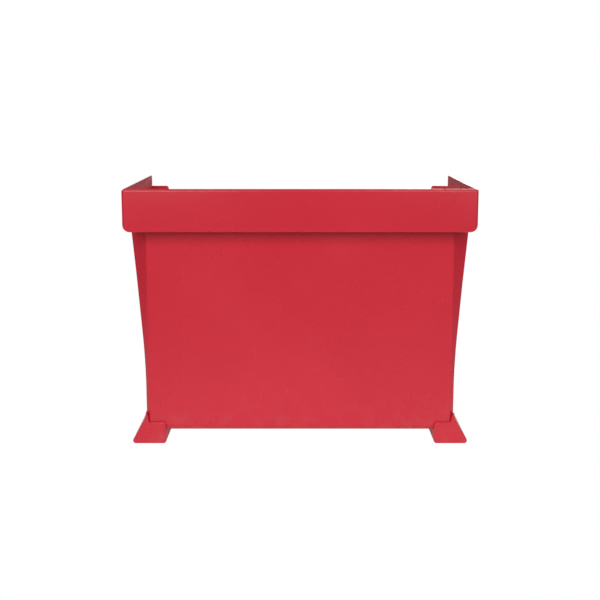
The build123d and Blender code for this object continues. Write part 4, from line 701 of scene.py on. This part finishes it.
finished("lid_frame", "lid_moulding", red_moulding, edge=0.0012)
finished("lid_window", "lid_clear_window", polycarbonate, edge=0.0003, segments=2)
finished("window_retainer", "window_black_retainer", moulded_black, edge=0.0006)
finished("lid_seal", "lid_rubber_seal", rubber, edge=0.0008)
for node in ("retainer_screws", "handle_screws", "strike_screws"):
    finished(node, node + "_set", zinc, edge=0.0002, segments=2)
finished("lid_handle", "lid_pull_bar", moulded_black, edge=0.0010)
finished("lid_strike", "lid_strike_plate", zinc, edge=0.0005)

# ---------------------------------------------------------------------------------------------------
# Hinges: three stainless butt hinges between the hood's blocks and the lid, each on one bright pin.


def brushed_steel(name, tint, roughness, stretch):
    """Stainless steel with directional brushing, cloudy handling marks and a few stray scratches."""
    material, t, shader, place = new_material(name)
    shader["Metallic"].default_value = 1.0
    brushing = t.noise(place, 300.0, 3, 0.6, stretch=stretch)
    marks = placed(t, SCUFFS, Amount=0.7)
    dull = tuple(0.82 * part for part in tint) + (1,)
    t.link(t.mix(t.step(brushing, 0.3, 0.7), dull, tint + (1,)), shader["Base Color"])
    rough = t.math("ADD", t.step(brushing, 0.2, 0.8, roughness - 0.06, roughness + 0.10),
                   t.math("MULTIPLY", marks["Rubbed"], 0.14))
    grooves = t.math("MULTIPLY", marks["Scratches"], 0.15)
    t.link(t.math("ADD", rough, grooves, clamp=True), shader["Roughness"])
    bump(t, shader, t.math("SUBTRACT", brushing, marks["Scratches"]), 0.00002, 0.5)
    return material


ALONG_X = (0.02, 1, 1)    # brushing that runs across the box
stainless = brushed_steel("brushed_stainless", (0.66, 0.65, 0.64), 0.28, ALONG_X)
for node, label in (("hinge_leaves_hood", "hinge_leaves_on_hood"),
                    ("hinge_leaves_lid", "hinge_leaves_on_lid"), ("hinge_pins", "hinge_bright_pins")):
    finished(node, label, stainless, edge=0.0004)
for node in ("hinge_screws_hood", "hinge_screws_lid"):
    finished(node, node + "_set", zinc, edge=0.0002, segments=2)

# ---------------------------------------------------------------------------------------------------
# Coin housing: a cast box in red powder coat, bolted through the front panel, with a brushed stainless
# faceplate that carries the coin slot and the return button.


def powder_coat():
    """Red powder coat: fine even stipple, a little glossier than the moulding, chipped on edges."""
    material, t, shader, place = new_material("red_powder_coat")
    cloud = t.step(t.noise(place, 9.0, 4), 0.3, 0.7)
    base = t.mix(cloud, (0.53, 0.011, 0.026, 1), (0.565, 0.014, 0.031, 1))
    edge = placed(t, WORN_EDGES, Width=0.0010, Breakup=140.0)["Mask"]
    chip = t.math("MULTIPLY", edge, t.step(t.noise(place, 60.0, 6), 0.52, 0.58))
    t.link(t.mix(chip, base, (0.20, 0.19, 0.185, 1)), shader["Base Color"])
    rubbed = placed(t, SCUFFS, Amount=0.6)["Rubbed"]
    t.link(t.math("ADD", 0.28, t.math("MULTIPLY", rubbed, 0.20)), shader["Roughness"])
    stipple = t.noise(place, 620.0, 2, 0.5)
    bump(t, shader, t.math("SUBTRACT", stipple, t.math("MULTIPLY", chip, 1.5)), 0.00010, 0.5)
    return material


coat = powder_coat()
finished("coin_housing", "coin_cast_housing", coat, edge=0.0012)
finished("housing_bolts", "housing_bolt_set", zinc, edge=0.0003)
finished("housing_nuts", "housing_hex_nuts", zinc, edge=0.0004)
face_steel = brushed_steel("faceplate_steel", (0.70, 0.69, 0.68), 0.24, ALONG_X)
finished("coin_faceplate", "coin_steel_faceplate", face_steel, edge=0.0004)
fasteners("faceplate_screws", OUT_FRONT, zinc)
finished("coin_chute", "coin_sheet_chute", galvanised, edge=0.0003)

# ---------------------------------------------------------------------------------------------------
# Coin return: a chromed push button on a coil spring, a drawn steel cup, and a hinged steel flap that
# falls shut over it.


def plated(name, tint, roughness):
    """Bright plating with soft smudges and a few pin-prick pits."""
    material, t, shader, place = new_material(name)
    shader["Metallic"].default_value = 1.0
    smudge = t.step(t.noise(place, 30.0, 4), 0.4, 0.75)
    dull = tuple(0.88 * part for part in tint) + (1,)
    t.link(t.mix(smudge, tint + (1,), dull), shader["Base Color"])
    t.link(t.math("ADD", roughness, t.math("MULTIPLY", smudge, 0.14)), shader["Roughness"])
    pits = t.step(t.noise(place, 260.0, 2), 0.74, 0.78)
    bump(t, shader, t.math("MULTIPLY", pits, -1.0), 0.00005, 0.4)
    return material


def coil_tree():
    """Round wire wound on a helix, with flat ends that fill its length."""
    t, given, out = repeat_tree("coil_spring", ("Coil Radius", "Wire Radius", "Coil Length", "Turns"),
                                "Coils")
    helix = t.add("GeometryNodeCurveSpiral")
    helix.inputs["Resolution"].default_value = 22
    for label, source in (("Rotations", "Turns"), ("Start Radius", "Coil Radius"),
                          ("End Radius", "Coil Radius"), ("Height", "Coil Length")):
        t.link(given[source], helix.inputs[label])
    wire = t.add("GeometryNodeCurvePrimitiveCircle")
    wire.inputs["Resolution"].default_value = 10
    t.link(given["Wire Radius"], wire.inputs["Radius"])
    sweep = t.add("GeometryNodeCurveToMesh")
    sweep.inputs["Fill Caps"].default_value = True
    t.link(helix.outputs[0], sweep.inputs["Curve"])
    t.link(wire.outputs["Curve"], sweep.inputs["Profile Curve"])
    return repeat_shape(t, given, sweep.outputs[0], out)


chrome = plated("chrome_plate", (0.80, 0.80, 0.81), 0.08)
finished("return_button", "return_push_button", chrome, edge=0.0008)
for node, label in (("return_cup", "return_steel_cup"), ("return_flap", "return_steel_flap")):
    finished(node, label, stainless, edge=0.0005)
finished("spring_bracket", "spring_sheet_bracket", galvanised, edge=0.0003)
spring_low, spring_high = (Vector(corner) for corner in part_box("return_spring"))
wire_radius = 0.0005
spring_turns = 6.5
coil_radius = (spring_high.x - spring_low.x) / 2 - wire_radius
coil_end = Vector(((spring_low.x + spring_high.x) / 2, spring_high.y - wire_radius,
                   (spring_low.z + spring_high.z) / 2))
spring = grown("return_coil_spring", coil_tree(), [coil_end], Finish=zinc, **{
    "Coil Radius": coil_radius, "Wire Radius": wire_radius, "Turns": spring_turns,
    "Coil Length": spring_high.y - spring_low.y - 2 * wire_radius,
    "Aim": tuple(OUT_FRONT.to_track_quat("Z", "Y").to_euler())})
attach(spring, "cabinet")
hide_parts("return_spring")

# ---------------------------------------------------------------------------------------------------
# Latch: a zinc-plated bolt in a grey iron guide on the housing's side of the front panel. The lid's
# strike plate drops beside it.

finished("latch_bolt", "latch_square_bolt", zinc, edge=0.0005)
finished("latch_guide", "latch_iron_guide", iron, edge=0.0006)

# ---------------------------------------------------------------------------------------------------
# Cash drawer: a powder-coated face on a tray, running in a folded sleeve. Its cam lock has a chromed
# barrel and a brass plug with a key slot.

finished("cash_sleeve", "cash_folded_sleeve", galvanised, edge=0.0003)
finished("cash_drawer", "cash_drawer_box", coat, edge=0.0008)
finished("lock_barrel", "lock_chrome_barrel", chrome, edge=0.0005)
finished("lock_plug", "lock_brass_plug", plated("satin_brass", (0.72, 0.52, 0.24), 0.22), edge=0.0003)
finished("lock_cam", "lock_cam_plate", zinc, edge=0.0004)
